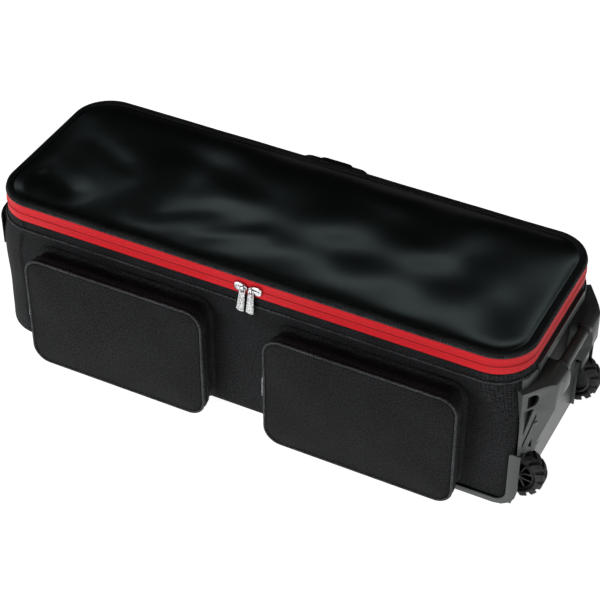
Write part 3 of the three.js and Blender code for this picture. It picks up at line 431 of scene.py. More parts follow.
def piece(name, mesh, material, body, replaced=()):
    """Puts a closed mesh into the scene as a piece that rides on a body, or on none where no body is given.
    """
    if not mesh.polygons:
        raise RuntimeError(f"{name} has no faces")
    mesh.materials.append(material)
    point_outwards(mesh)
    obj = placed(name, mesh)
    if body:
        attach(obj, body)
    if replaced:
        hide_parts(*replaced)
    return obj


def grid_piece(name, points, form, material, body, node, uv=None):
    """A piece made from a grid of points, which stands for a node of the frame."""
    return piece(name, grid_mesh(name, points, form, uv), material, body, (node,))


def dressed(node, name, material, bevel):
    """A copy of a rigid node with its edges rounded and its round faces smooth."""
    merge, flat, edge = 0.004 * MM, math.radians(1.5), math.radians(35)
    source = frame["nodes"][node]
    mesh = source.data.copy()
    mesh.name = name
    mesh.materials.clear()
    mesh.materials.append(material)
    with edited(mesh) as work:
        bmesh.ops.remove_doubles(work, verts=work.verts, dist=merge)
        bmesh.ops.dissolve_limit(work, angle_limit=flat, verts=work.verts, edges=work.edges)
    mesh.shade_smooth()
    mesh.set_sharp_from_angle(angle=math.radians(180))
    obj = placed(name, mesh)
    modifier = obj.modifiers.new("rounded_edges", "BEVEL")
    modifier.width = bevel
    modifier.segments = 2
    modifier.limit_method = "ANGLE"
    modifier.angle_limit = edge
    modifier.use_clamp_overlap = True
    modifier.harden_normals = True
    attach(obj, source["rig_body"])
    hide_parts(node)
    return obj


def apply_modifiers(obj):
    """Replaces a piece's mesh by what its modifiers make of it."""
    bpy.context.view_layer.update()
    graph = bpy.context.evaluated_depsgraph_get()
    settled = obj.evaluated_get(graph)
    made = bpy.data.meshes.new_from_object(settled, preserve_all_data_layers=True, depsgraph=graph)
    obj.modifiers.clear()
    obj.data = made


def puffed(obj, voxel, cap, held):
    """Swells a closed padded piece: an even mesh under inner pressure, no point moving further than the cap.

    The held function tells from the points which of them are sewn down. The settled shape is kept as the
    piece's own mesh.
    """
    frames, pressure = 20, 4
    remesh = obj.modifiers.new("even", "REMESH")
    remesh.mode = "VOXEL"
    remesh.voxel_size = voxel
    apply_modifiers(obj)
    before = coordinates(obj.data)
    sewn = obj.vertex_groups.new(name="sewn")
    sewn.add(np.flatnonzero(held(before)).tolist(), 1.0, "REPLACE")
    cloth = obj.modifiers.new("cloth", "CLOTH").settings
    cloth.vertex_group_mass = "sewn"
    cloth.use_pressure = True
    cloth.uniform_pressure_force = pressure
    cloth.quality = 5
    cloth.effector_weights.gravity = 0
    for step in range(1, frames + 1):
        bpy.context.scene.frame_set(step)
    apply_modifiers(obj)
    shift = coordinates(obj.data) - before
    far = np.linalg.norm(shift, axis=1, keepdims=True)
    shift *= np.minimum(1, cap / np.maximum(far, 1e-9))
    obj.data.vertices.foreach_set("co", (before + shift).ravel())
    obj.vertex_groups.clear()
    bpy.context.scene.frame_set(1)
    finer = obj.modifiers.new("finer", "SUBSURF")
    finer.levels = finer.render_levels = 1
    apply_modifiers(obj)
    obj.data.shade_smooth()


# Outlines of the case

def tub_rings(t, z, grow):
    """Points round the tub at heights z, grown outwards. Wheel corners widen from the flare to the binding.

    The plain end swells past the rim's outline: fully low down, and not at all at the rim.
    """
    tub = sizes("tub")
    z = np.asarray(z, float)
    radius = tub.wheel_corner + (tub.corner - tub.wheel_corner) * smooth(z, tub.flare_start, tub.binding)
    bulge = tub.bulge * (1 - smooth(z, tub.binding - 4 * tub.bulge, tub.rim))
    x, y = outline_at(
        t, -tub.half_length - bulge - grow, tub.half_length + grow, tub.half_depth + grow,
        tub.corner + grow, np.maximum(radius + grow, 1 * MM),
    )
    return points_of(x, y, z[:, None])


def rim_rings(t, inset, z):
    """Points round the rim's outline, drawn in by an inset at each height."""
    tub = sizes("tub")
    inset = np.asarray(inset, float)
    radius = np.maximum(tub.corner - inset, 2 * MM)
    half_length = tub.half_length - inset
    x, y = outline_at(t, -half_length, half_length, tub.half_depth - inset, radius, radius)
    return points_of(x, y, np.asarray(z, float)[:, None])


def zip_path():
    """The stretch of the rim that the zip covers: all but the middle of the back."""
    tub = sizes("tub")
    straight = 2 * (tub.half_length - tub.corner)
    past = 40 * MM / straight
    return stretch_steps(*ZIP_STEPS, 5 - past, 12 + past)


# Shader nodes

def feed(tree, socket, value):
    """Links a socket to another node's output, or gives it a plain value."""
    if isinstance(value, bpy.types.NodeSocket):
        tree.links.new(value, socket)
    else:
        socket.default_value = value


def fill(tree, node, **values):
    """Feeds a node's inputs by their labels, an underscore standing for a space, and returns the node."""
    for label, value in values.items():
        feed(tree, node.inputs[label.replace("_", " ")], value)
    return node


def maths(tree, operation, *values, clamp=False):
    node = tree.nodes.new("ShaderNodeMath")
    node.operation = operation
    node.use_clamp = clamp
    for socket, value in zip(node.inputs, values):
        feed(tree, socket, value)
    return node.outputs[0]


def times_plus(tree, value, factor, offset, clamp=False):
    return maths(tree, "MULTIPLY_ADD", value, factor, offset, clamp=clamp)


def mixed(tree, factor, a, b):
    """Colour a where the factor is 0 and b where it is 1."""
    node = tree.nodes.new("ShaderNodeMix")
    node.data_type = "RGBA"
    for socket, value in ((node.inputs[0], factor), (node.inputs[6], a), (node.inputs[7], b)):
        feed(tree, socket, value)
    return node.outputs[2]


def noise(tree, vector, scale, detail=2.0):
    node = tree.nodes.new("ShaderNodeTexNoise")
    return fill(tree, node, Vector=vector, Scale=scale, Detail=detail).outputs["Fac"]


def split(tree, vector):
    """The X, Y and Z of a vector."""
    return fill(tree, tree.nodes.new("ShaderNodeSeparateXYZ"), Vector=vector).outputs


def ranged(tree, value, low, high, first, last):
    """The value taken smoothly from one range to another."""
    node = tree.nodes.new("ShaderNodeMapRange")
    node.interpolation_type = "SMOOTHSTEP"
    fill(tree, node, Value=value, From_Min=low, From_Max=high, To_Min=first, To_Max=last)
    return node.outputs["Result"]


def object_coordinates(tree):
    return tree.nodes.new("ShaderNodeTexCoord").outputs["Object"]


def cloth_coordinates(tree):
    node = tree.nodes.new("ShaderNodeUVMap")
    node.uv_map = "cloth"
    return node.outputs["UV"]


def upright_coordinates(tree):
    """Object coordinates laid flat, so that X runs across the cloth and Z runs up it."""
    across, _, up = split(tree, object_coordinates(tree))
    return fill(tree, tree.nodes.new("ShaderNodeCombineXYZ"), X=across, Y=up).outputs[0]


# Shader groups

def made_once(library):
    """Lets a function make the material or node group of a name only once, and finds it later."""
    def wrap(make):
        def find_or_make(name, *values, **named):
            return getattr(bpy.data, library).get(name) or make(name, *values, **named)
        return find_or_make
    return wrap


def new_group(name, defaults, results):
    """An empty group that takes a vector and numbers, with its own inputs and outputs ready to be linked."""
    group = bpy.data.node_groups.new(name, "ShaderNodeTree")
    group.interface.new_socket("Vector", in_out="INPUT", socket_type="NodeSocketVector")
    for label, value in defaults.items():
        socket = group.interface.new_socket(label, in_out="INPUT", socket_type="NodeSocketFloat")
        socket.default_value = value
    for label in results:
        group.interface.new_socket(label, in_out="OUTPUT", socket_type="NodeSocketFloat")
    return group, group.nodes.new("NodeGroupInput").outputs, group.nodes.new("NodeGroupOutput")


@made_once("node_groups")
def weave_group(name):
    """Slanting weave: the product of two waves that cross, with uneven yarn, soft clouds and a speckle."""
    group, given, result = new_group(name, {"Pitch": 2.2 * MM, "Slant": 1.0}, ("Height", "Cloud", "Speckle"))
    place = given["Vector"]
    across, up, _ = split(group, place)
    turn = maths(group, "DIVIDE", TURN, given["Pitch"])
    slanted = maths(group, "MULTIPLY", up, given["Slant"])
    first, second = (
        maths(group, "SINE", maths(group, "MULTIPLY", maths(group, way, across, slanted), turn))
        for way in ("ADD", "SUBTRACT")
    )
    twill = times_plus(group, first, 0.6, maths(group, "MULTIPLY", first, second))
    height = times_plus(group, noise(group, place, 900), 0.5, twill)
    fill(group, result, Height=height, Cloud=noise(group, place, 14, 4), Speckle=noise(group, place, 330, 1))
    return group


@made_once("node_groups")
def grain_group(name):
    """Moulded grain: fine pits from noise, with a slow drift in shade."""
    group, given, result = new_group(name, {"Scale": 900.0}, ("Height", "Drift"))
    place = given["Vector"]
    fill(group, result, Height=noise(group, place, given["Scale"], 3), Drift=noise(group, place, 9, 3))
    return group


def place_group(tree, group, vector, **values):
    """The outputs of a group placed in a material with its own values."""
    node = tree.nodes.new("ShaderNodeGroup")
    node.node_tree = group
    return fill(tree, node, Vector=vector, **values).outputs


def weave_at(tree, place, pitch, slant):
    return place_group(tree, weave_group("cloth_weave"), place, Pitch=pitch, Slant=slant)


def grain_at(tree, scale):
    return place_group(tree, grain_group("moulded_grain"), object_coordinates(tree), Scale=scale)


# Materials

def blank_material(name):
    """A new material and its node tree, which holds a Principled shader."""
    material = bpy.data.materials.new(name)
    material.use_nodes = True
    return material, material.node_tree


def finished(material, shade, dull, height, depth, strength=1.0, **constants):
    """Feeds the shader of a material: its colour, its roughness, a bump and plain values by label."""
    tree = material.node_tree
    bump = fill(tree, tree.nodes.new("ShaderNodeBump"), Distance=depth, Strength=strength, Height=height)
    shader = tree.nodes["Principled BSDF"]
    fill(tree, shader, Base_Color=shade, Roughness=dull, Normal=bump.outputs["Normal"], **constants)
    return material


@made_once("materials")
def fabric_material(name, base, pitch=3.6 * MM, depth=0.4 * MM, roughness=0.72, slant=1.0, upright=False):
    """Woven fabric: crossing yarns in the bump and the shade, with cloudy wear and a speckle of threads."""
    material, tree = blank_material(name)
    weave = weave_at(tree, upright_coordinates(tree) if upright else cloth_coordinates(tree), pitch, slant)
    yarn = times_plus(tree, weave["Height"], 0.42, 0.18, clamp=True)
    cloud = times_plus(tree, weave["Cloud"], 0.7, -0.35)
    thread = times_plus(tree, weave["Speckle"], 1.9, -0.95)
    factor = maths(tree, "ADD", maths(tree, "ADD", yarn, cloud), thread, clamp=True)
    shade = mixed(tree, factor, shaded(base, 0.15), shaded(base, 6.0))
    dull = times_plus(tree, weave["Cloud"], 0.16, roughness - 0.08)
    return finished(material, shade, dull, weave["Height"], depth, Specular_IOR_Level=0.15)


def woven_black():
    return fabric_material("woven_black", tint("fabric"))


def piping_black():
    """The covered cord: a finer weave with a little more gloss than the fabric, painted paler as a highlight
    along the cord.
    """
    # The webbing's colour made 2.6 times paler is painted highlight along the cord.
    return fabric_material("piping_black", tint("webbing", 2.6), 1.2 * MM, 0.1 * MM, 0.5)


@made_once("materials")
def vinyl_material(name):
    """Coated sheet: smooth gloss broken by a fine leathery pebble and slow changes in roughness."""
    material, tree = blank_material(name)
    grain = grain_at(tree, 700.0)
    shade = mixed(tree, grain["Drift"], tint("vinyl", 0.7), tint("vinyl", 1.4))
    dull = times_plus(tree, grain["Drift"], 0.12, 0.18)
    return finished(material, shade, dull, grain["Height"], 0.06 * MM, 0.5, Specular_IOR_Level=0.5)


@made_once("materials")
def plastic_material(name, base, roughness, scale=900.0, depth=0.06 * MM):
    """Moulded plastic: fine grain in the bump and a slow drift in shade."""
    material, tree = blank_material(name)
    grain = grain_at(tree, scale)
    shade = mixed(tree, grain["Drift"], shaded(base, 0.8), shaded(base, 1.2))
    dull = times_plus(tree, grain["Drift"], 0.15, roughness - 0.07)
    return finished(material, shade, dull, grain["Height"], depth)


@made_once("materials")
def rubber_material(name):
    """Tyre rubber: painted light makes the lugs paler, and painted shade makes the grooves between them
    nearly black.
    """
    material, tree = blank_material(name)
    grain = grain_at(tree, 500.0)
    raised = tree.nodes.new("ShaderNodeAttribute")
    raised.attribute_name = "raised"
    # Painted light on the lugs' tops; below, painted shade in the grooves between them.
    top = mixed(tree, grain["Drift"], tint("rubber", 1.7), tint("rubber", 2.4))
    shade = mixed(tree, raised.outputs["Fac"], tint("rubber", 0.1), top)
    dull = times_plus(tree, grain["Drift"], 0.15, 0.55)
    return finished(material, shade, dull, grain["Height"], 0.1 * MM)


@made_once("materials")
def zip_material(name):
    """Red zip tape: a herringbone of yarns, painted shade along the slit where the two tapes meet, and a sewn
    line on each side.
    """
    material, tree = blank_material(name)
    weave = weave_at(tree, cloth_coordinates(tree), 1.6 * MM, 0.5)
    yarn = times_plus(tree, weave["Height"], 0.3, 0.4, clamp=True)
    thread = times_plus(tree, weave["Speckle"], 2.0, -0.3, clamp=True)
    cloth = mixed(tree, maths(tree, "MULTIPLY", yarn, thread), tint("zip_red", 0.55), tint("zip_red", 1.08))
    height = split(tree, object_coordinates(tree))[2]
    off = maths(tree, "ABSOLUTE", maths(tree, "SUBTRACT", height, sizes("lid").zip_line))
    # Painted shade: the tape darkens towards the slit where the two halves meet.
    meeting = ranged(tree, off, 0.5 * MM, 2.2 * MM, 0.5, 0.0)
    from_seam = maths(tree, "ABSOLUTE", maths(tree, "SUBTRACT", off, 6.5 * MM))
    sewn = ranged(tree, from_seam, 0.4 * MM, 1.2 * MM, 0.2, 0.0)
    shade = mixed(tree, maths(tree, "MAXIMUM", meeting, sewn), cloth, tint("zip_red", 0.12))
    dull = times_plus(tree, weave["Cloud"], 0.1, 0.5)
    return finished(material, shade, dull, weave["Height"], 0.15 * MM, Specular_IOR_Level=0.25)


@made_once("materials")
def metal_material(name, roughness=0.22, pebble=0.0, shade=1.0):
    """Plated metal: faint dulling, and where asked a pebbled face with dark pits."""
    material, tree = blank_material(name)
    grain = grain_at(tree, 420.0 if pebble else 650.0)
    spread = times_plus(tree, grain["Height"], 5.0, -1.7, clamp=True) if pebble else grain["Drift"]
    dark = tint("metal", (0.15 if pebble else 0.8) * shade)
    face = mixed(tree, spread, dark, tint("metal", shade))
    dull = times_plus(tree, grain["Drift"], 0.1, roughness)
    return finished(material, face, dull, grain["Height"], max(pebble, 0.02 * MM), Metallic=1.0)


# Pieces

class CASE_OT_tub(bpy.types.Operator):
    """Makes the padded fabric tub, its stiff floor and the binding line"""

    bl_idname = "case.tub"
    bl_label = "Tub"

    def execute(self, context):
        self.make_tub()
        self.make_binding()
        board = plastic_material("floor_board_grey", (0.03, 0.029, 0.027), 0.65, 300.0, 0.1 * MM)
        dressed("floor_board", "stiff_floor_board", board, 0.4 * MM)
        return {"FINISHED"}

    def make_tub(self):
        """A closed shell: rings carried up the outside, over the rim and down inside.

        The outside waves gently: a sum of slow sines of the distance round and the height, fading at both
        edges.
        """
        tub = sizes("tub")
        edge_rows, side_rows, inner_rows = 6, 44, 12
        rim_round, near_rim = 1.5 * MM, tub.rim - 1 * MM
        arc = np.linspace(0, QUARTER, edge_rows)
        low_z = tub.base + tub.lower_edge * (1 - np.cos(arc))
        low_grow = -tub.lower_edge * (1 - np.sin(arc))
        side_z = np.linspace(tub.base + tub.lower_edge, tub.rim - 2 * MM, side_rows)[1:]
        side_z = np.append(side_z, tub.rim)
        side_grow = np.where(side_z > near_rim, -rim_round, 0)
        in_z = np.linspace(tub.rim, tub.base + tub.wall, inner_rows)
        in_grow = np.where(in_z > near_rim, rim_round - tub.wall, -tub.wall)
        z = np.concatenate([low_z, side_z, in_z])
        points = tub_rings(stretch_steps(*TUB_STEPS), z, np.concatenate([low_grow, side_grow, in_grow]))
        half_way_up = edge_rows + 20
        u = along(points[half_way_up])
        fade = smooth(z, tub.base, 50 * MM) * (1 - smooth(z, tub.binding - 30 * MM, tub.binding))
        fade[-len(in_z):] = 0
        wave = waves(u, z[:, None], (1, 23, 17, 0), (0.7, 41, -29, 1.3), (0.5, 11, 61, 0.6))
        tangent = np.roll(points, -1, axis=1) - np.roll(points, 1, axis=1)
        normal = points_of(tangent[..., 1], -tangent[..., 0], 0.0)
        normal /= np.maximum(np.linalg.norm(normal, axis=-1, keepdims=True), 1e-9)
        points = points + normal * (wave * fade[:, None] * tub.slack)[..., None]
        uv = (along(points[:, 0]), u)
        self.cut_wells(grid_piece("tub", points, "tube", woven_black(), "case", "body_shell", uv))

    def cut_wells(self, obj):
        """Cuts the room for the two wheel wells out of the tub, as boxes past its end and underside."""
        before, beside, above, past = 10 * MM, 9.8 * MM, 5.8 * MM, 40 * MM
        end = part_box("wheel_base")[1][0]
        low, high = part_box("tyre_rear")
        x = np.array([low[0] - before, end + past])[[0, 1, 1, 0]]
        y = np.array([low[1] - beside, high[1] + beside])[[0, 0, 1, 1]]
        z = np.array([[-past], [high[2] + above]])
        cutters = []
        for side in (-1, 1):
            mesh = grid_mesh("well_room", points_of(x, y * side, z), "tube")
            point_outwards(mesh)
            cutters.append(placed("well_room", mesh))
            modifier = obj.modifiers.new("well", "BOOLEAN")
            modifier.operation = "DIFFERENCE"
            modifier.object = cutters[-1]
            modifier.solver = "EXACT"
        apply_modifiers(obj)
        for cutter in cutters:
            bpy.data.objects.remove(cutter)

    def make_binding(self):
        """A cord of round section round the tub at the binding height, open where the moulded bar is."""
        tub = sizes("tub")
        bar_half = 106 * MM
        inset, z = round_section(12, -1.3 * MM, 1.7 * MM, tub.binding, 2 * MM)
        points = tub_rings(stretch_steps(*TUB_STEPS), np.full(len(z), tub.binding), -inset)
        points[..., 2] = z[:, None]
        x, y = points[0, :, 0], points[0, :, 1]
        covered = (x > tub.half_length - 5 * MM) & (np.abs(y) < bar_half)
        start = np.argmax(covered) + np.sum(covered)
        points = points[:, (np.arange(np.sum(~covered)) + start) % len(covered)]
        uv = run_map(points)
        grid_piece("binding_cord", points, "band", piping_black(), "case", "body_binding", uv)


class CASE_OT_zip(bpy.types.Operator):
    """Makes the two halves of the red zip and the strips that hinge the lid"""

    bl_idname = "case.zip"
    bl_label = "Main zip"

    def execute(self, context):
        tub, lid = sizes("tub"), sizes("lid")
        gap = 0.3 * MM
        halves = (
            ("below", "lower", "case", tub.rim + gap, lid.zip_line - gap),
            ("above", "upper", "lid", lid.zip_line, lid.shoulder - 4.3 * MM),
        )
        for make, kind in ((self.tape, "zip_tape"), (self.strip, "hinge_strip")):
            for place, half, body, low, high in halves:
                make(f"{kind}_{place}", f"{kind}_{half}", body, low, high)
        return {"FINISHED"}

    def tape(self, name, node, body, low, high):
        """A flat tape with a raised double ridge along the edge that meets its fellow, carried round the rim.

        The ridge stands out as the sum of two bells, 1.1 mm and 3.4 mm from the meeting edge, and a seam
        lies 3 mm from the other edge as a shallow groove.
        """
        z = np.linspace(low, high, 24)
        meeting, sewn = (high, low) if body == "case" else (low, high)
        away, far = np.abs(z - meeting), np.abs(z - sewn)
        ridge = 0.9 * bell(away, 1.1 * MM, 0.75 * MM) + 0.45 * bell(away, 3.4 * MM, 0.6 * MM)
        seam = 0.3 * bell(far, 3 * MM, 0.5 * MM)
        inset, height = self.profile((seam - ridge) * MM, z, body)
        points = rim_rings(zip_path(), inset, height)
        red = zip_material("red_zip_tape")
        grid_piece(name, points, "band", red, body, node, run_map(points))

    def strip(self, name, node, body, low, high):
        """A flat strip along the back between the ends of the tapes, slightly bowed outwards."""
        tub = sizes("tub")
        reach = tub.half_length - tub.corner - 40.6 * MM
        x = np.linspace(-reach, reach, 60)
        z = np.linspace(low, high, 8)
        bow = 0.5 * MM * np.sin(np.linspace(0, math.pi, len(z)))
        inset, height = self.profile(0.1 * MM - bow, z, body)
        points = points_of(x, tub.half_depth - inset[:, None], height[:, None])
        grid_piece(name, points, "band", woven_black(), body, node, (height, x))

    def profile(self, front, z, body):
        """The closed profile of a tape: its front, and a flat back 1.2 mm inside the rim's outline.

        On the tub's side the back ends in a lip that is sewn into the rim, so that no light passes there.
        """
        inset = np.concatenate([front, np.full(len(z), 1.2 * MM)])
        height = np.concatenate([z, z[::-1]])
        if body == "case":
            height[-1] = z[0] + 0.5 * MM
            height = np.append(height, z[0] + np.array([0.5, -1.8, -1.8, 0]) * MM)
            inset = np.append(inset, np.array([2.4, 2.4, 1.6, 1.6]) * MM)
        return inset, height


class CASE_OT_lid(bpy.types.Operator):
    """Makes the lid: raised fabric border, piping and slack vinyl"""

    bl_idname = "case.lid"
    bl_label = "Lid"

    # Ridges of the vinyl, in mm: both ends of each, its width, and its height as a share of the lid's fold
    RIDGES = (
        (-60, -20, 330, -10, 40, 0.9),
        (-240, -90, -110, -10, 30, 0.8),
        (-130, -110, -20, -30, 24, -0.5),
        (-470, -70, -360, -100, 30, 0.9),
        (-300, 110, -60, 60, 30, 0.5),
        (60, 110, 250, 70, 28, 0.4),
        (300, 90, 420, -60, 30, 0.5),
        (-440, 60, -320, 10, 24, 0.4),
    )

    def execute(self, context):
        self.make_border()
        self.make_piping()
        self.make_vinyl()
        return {"FINISHED"}

    def make_border(self):
        """A padded band with a skirt behind the zip: one closed profile carried round the rim.

        Its top is a flattened arch that dips to a seam near its inner edge, and that edge wanders in and out.
        """
        lid = sizes("lid")
        width, shoulder = lid.border, lid.shoulder
        skirt_foot = lid.zip_line + 3.6 * MM
        share = np.linspace(0, 1, 22)
        arch = 0.15 + 0.85 * np.sin(share * math.pi) ** 0.35
        top_inset = 0.6 * MM + (width - 1.2 * MM) * share
        seam = 0.8 * MM * bell(top_inset, width - 4 * MM, 0.9 * MM)
        top_z = shoulder + (lid.top - shoulder) * arch - seam
        under = np.array([
            (width, shoulder - 5 * MM), (width - 1 * MM, shoulder - 6 * MM),
            (9 * MM, shoulder - 6 * MM), (8.3 * MM, shoulder - 6.6 * MM),
            (8.3 * MM, skirt_foot), (1.7 * MM, skirt_foot),
            (1.7 * MM, shoulder - 5 * MM), (4.4 * MM, shoulder - 4.4 * MM), (4.4 * MM, shoulder),
        ])
        inset = np.concatenate([top_inset, under[:, 0]])
        t = stretch_steps(*LID_STEPS)
        points = rim_rings(t, inset, np.concatenate([top_z, under[:, 1]]))
        u = along(points[0])
        wave = 0.5 * MM * waves(u, 0, (1, 31, 0, 0.4), (0.6, 53, 0, 2.0))
        points[:len(share), :, 2] += np.sin(share * math.pi)[:, None] * wave
        inner = np.clip((inset - 10 * MM) / (width - 10 * MM), 0, 1)
        edge, nearer = rim_rings(t, [0, 1 * MM], [0, 0])
        points += inner[:, None, None] * 1.6 * wave[None, :, None] * (edge - nearer) / MM
        uv = (along(points[:, 0]), u)
        grid_piece("lid_fabric_border", points, "ring", woven_black(), "lid", "lid_border", uv)

    def make_piping(self):
        """A cord of round section carried round the lid's outer edge."""
        inset, z = round_section(14, 1.6 * MM, 2.2 * MM, sizes("lid").shoulder - 2.2 * MM, 2.0 * MM)
        points = rim_rings(stretch_steps(*LID_STEPS), inset, z)
        uv = run_map(points)
        grid_piece("lid_edge_piping", points, "ring", piping_black(), "lid", "lid_piping", uv)

    def make_vinyl(self):
        """A slack sheet that fills the border, with a thin back.

        Its height is a bowl that falls with the distance from the border, made uneven by slow sines, plus
        long soft folds.
        """
        tub, lid = sizes("tub"), sizes("lid")
        seam, thick, below_top = 2.5 * MM, 1.5 * MM, 3.6 * MM
        edge = lid.border - seam
        hx, hy, radius = tub.half_length - edge, tub.half_depth - edge, tub.corner - edge
        x, y = filled_outline(261, 61, 16, hx, hy, radius)
        inside = inside_depth(x, y, hx, hy, radius)
        edge_drop = lid.sag * (1 - np.exp(-np.maximum(inside - 3 * MM, 0) / (14 * MM)))
        uneven = 1 + waves(x, y, (0.22, 9, 0, 0.8), (0.16, 21, 9, 2.0), (0.1, 37, -15, 0))
        bowl = lid.bowl * uneven * (1 - (y / hy) ** 2) * (1 - (x / hx) ** 4)
        front = points_of(x, y, lid.top - below_top - edge_drop - bowl + self.folds(x, y, inside))
        mesh = pillow_mesh("lid_vinyl", front, front - [0, 0, thick])
        obj = piece("lid_vinyl", mesh, vinyl_material("black_vinyl"), "lid", ("lid_panel",))

    def folds(self, x, y, inside):
        """Sum of ridges with a bell section across and faded ends, and small waves, fading at the border."""
        fold = sizes("lid").fold
        total = 0.1 * fold * np.sin(x * 37 + y * 21) * np.cos(y * 33 - x * 9)
        for *ends, width, height in self.RIDGES:
            ax, ay, bx, by = (value * MM for value in ends)
            dx, dy = bx - ax, by - ay
            long = math.hypot(dx, dy)
            run = ((x - ax) * dx + (y - ay) * dy) / long
            off = ((y - ay) * dx - (x - ax) * dy) / long
            faded = smooth(run, -0.2 * long, 0.25 * long) * (1 - smooth(run, 0.75 * long, 1.2 * long))
            total += height * fold * faded * bell(off, 0, width * MM)
        return total * smooth(inside, 4 * MM, 40 * MM)


class CASE_OT_sliders(bpy.types.Operator):
    """Makes the zip sliders and their pulls"""

    bl_idname = "case.sliders"
    bl_label = "Sliders and pulls"

    POCKET_SCALE = 0.75

    # In mm at full scale: from a plate's back out to the hinge, and from the arch aside to the plate's middle
    HINGE_OUT = 5.9
    PLATE_OFF = 5.5

    def execute(self, context):
        joints = {joint["name"]: joint for joint in frame["joints"]}
        for side, name in ((-1, "left"), (1, "right")):
            main, pocket = joints[f"main_pull_{name}_swing"], joints[f"{name}_pocket_pull_swing"]
            self.slider(f"main_{name}", main, f"main_slider_{name}", f"zip_slider_{name}", False, side)
            self.leaf(f"main_{name}", main, f"main_pull_{name}", f"zip_pull_{name}", False)
            self.slider(f"pocket_{name}", pocket, f"{name}_pocket_slider", f"pocket_slider_{name}", True)
            self.leaf(f"pocket_{name}", pocket, f"{name}_pocket_pull", f"pocket_pull_{name}", True)
        return {"FINISHED"}

    def stance(self, joint, upright):
        """A pull's hinge, the way that its slider faces, the lean of its hinge line, and its scale."""
        hinge, axis = np.asarray(joint["pos_m"]), joint["axis"]
        if upright:
            return hinge, -QUARTER, 0.0, self.POCKET_SCALE * MM
        return hinge, 0.0, math.atan2(axis[2], -axis[0]), MM

    def slider(self, name, joint, body, node, upright, side=0):
        """One slider behind its pull's hinge. A main slider's plate stands off to one side of the arch."""
        hinge, facing, _, scale = self.stance(joint, upright)
        out = np.array([math.sin(facing), -math.cos(facing), 0])
        off = (self.PLATE_OFF * side, 0, 0)
        parts = [moved(part, off, flip=side > 0) for part in (self.plate(upright), self.bridge(upright))]
        mesh = joined(f"{name}_slider", parts + [self.bail()])
        moved(mesh, hinge - self.HINGE_OUT * scale * out, facing, scale=scale)
        piece(f"{name}_slider", mesh, metal_material("bright_plated"), body, (node,))

    def plate(self, upright):
        """A slider's body in mm, facing -Y, its nose towards +X or, where upright, +Z, with its back at y 0.

        The outline is wide at the shoulders and narrows to the nose. Its depth rises from the edge as a
        rounded shoulder.
        """
        angle = round_turn(48)
        long, wide = squared(np.cos(angle), 0.62), squared(np.sin(angle), 0.62)
        wide = (9.0 - 3.4 * smooth(long, -0.2, 1.0)) * wide
        long = 12.5 * long
        shares = np.array([1.0, 1.0, 0.96, 0.86, 0.5, 0.12])[:, None]
        depths = np.array([0, 2.0, 3.0, 3.5, 3.66, 3.7])[:, None]
        x, z = (-wide, long) if upright else (long, wide)
        return grid_mesh("plate", points_of(x * shares, -depths, z * shares), "tube")

    def bridge(self, upright):
        """The low bridge along the plate: a flat strip in mm, bent off the plate at both ends."""
        a = np.linspace(-QUARTER, QUARTER, 17)
        run = 8.5 * np.sin(a)
        y = -3.0 - 2.6 * np.clip(np.cos(a), 0, 1) ** 0.6
        path = points_of(0.0, y, run) if upright else points_of(run, y, 0.0)
        return strip_along("bridge", path, 3.6, 1.0, (1, 0, 0) if upright else (0, 0, 1))

    def bail(self):
        """The arch that carries the eye bar: a flat strip in mm, bent out from the plate and back."""
        a = np.linspace(-QUARTER, QUARTER, 17)
        y = -3.2 - 4.6 * np.clip(np.cos(a), 0, 1) ** 0.8
        return strip_along("bail", points_of(0.0, y, 5.2 * np.sin(a)), 3.0, 1.3, (1, 0, 0))

    def leaf(self, name, joint, body, node, upright):
        """The pull: a tapered leaf with a raised rim, a pebbled sunken face and a window for the bail, in mm.

        The outline widens downwards and ends in a shallow round. Thickness is a plateau that rises to the
        rim, and the pebble is a product of sines. No face is made inside the window.
        """
        long, over = 50.0, 0.9
        v, u = np.linspace(0, 1, 64)[:, None], np.linspace(-1, 1, 27)[None, :]
        half = 5.5 + 2.0 * v
        x = u * half
        z = over - (long + over) * v + 2.4 * smooth(v, 0.8, 1.0) * u ** 2
        near = np.minimum((1 - np.abs(u)) * half, np.minimum(v, 1 - v) * long)
        pebble = 0.12 * np.sin(x * 3.1 + 3 * np.sin(z * 1.3)) * np.sin(z * 2.6)
        thick = 0.95 - 0.35 * smooth(near, 1.0, 1.7) + pebble * smooth(near, 1.7, 2.3)
        thick = thick * np.sqrt(np.clip(near / 0.5, 0.12, 1))
        window = (np.abs(x) < 3.4) & (z < -1.2) & (z > -7.4)
        hole = window[:-1, :-1] & window[1:, :-1] & window[:-1, 1:] & window[1:, 1:]
        quads = quads_of(np.arange(x.size).reshape(x.shape))[~hole]
        edges = np.concatenate([quads[:, pair] for pair in ([0, 1], [1, 2], [2, 3], [3, 0])])
        _, first, number = np.unique(np.sort(edges, axis=1), axis=0, return_index=True, return_counts=True)
        front, back = points_of(x, -thick, z), points_of(x, thick, z)
        mesh = two_sided(f"{name}_leaf", front, back, quads, edges[first[number == 1]])
        hinge, facing, lean, scale = self.stance(joint, upright)
        moved(mesh, hinge, facing, lean, scale)
        plated = metal_material("pebbled_plated", 0.3, 0.3 * MM, 0.85)
        piece(f"{name}_leaf", mesh, plated, body, (node,))


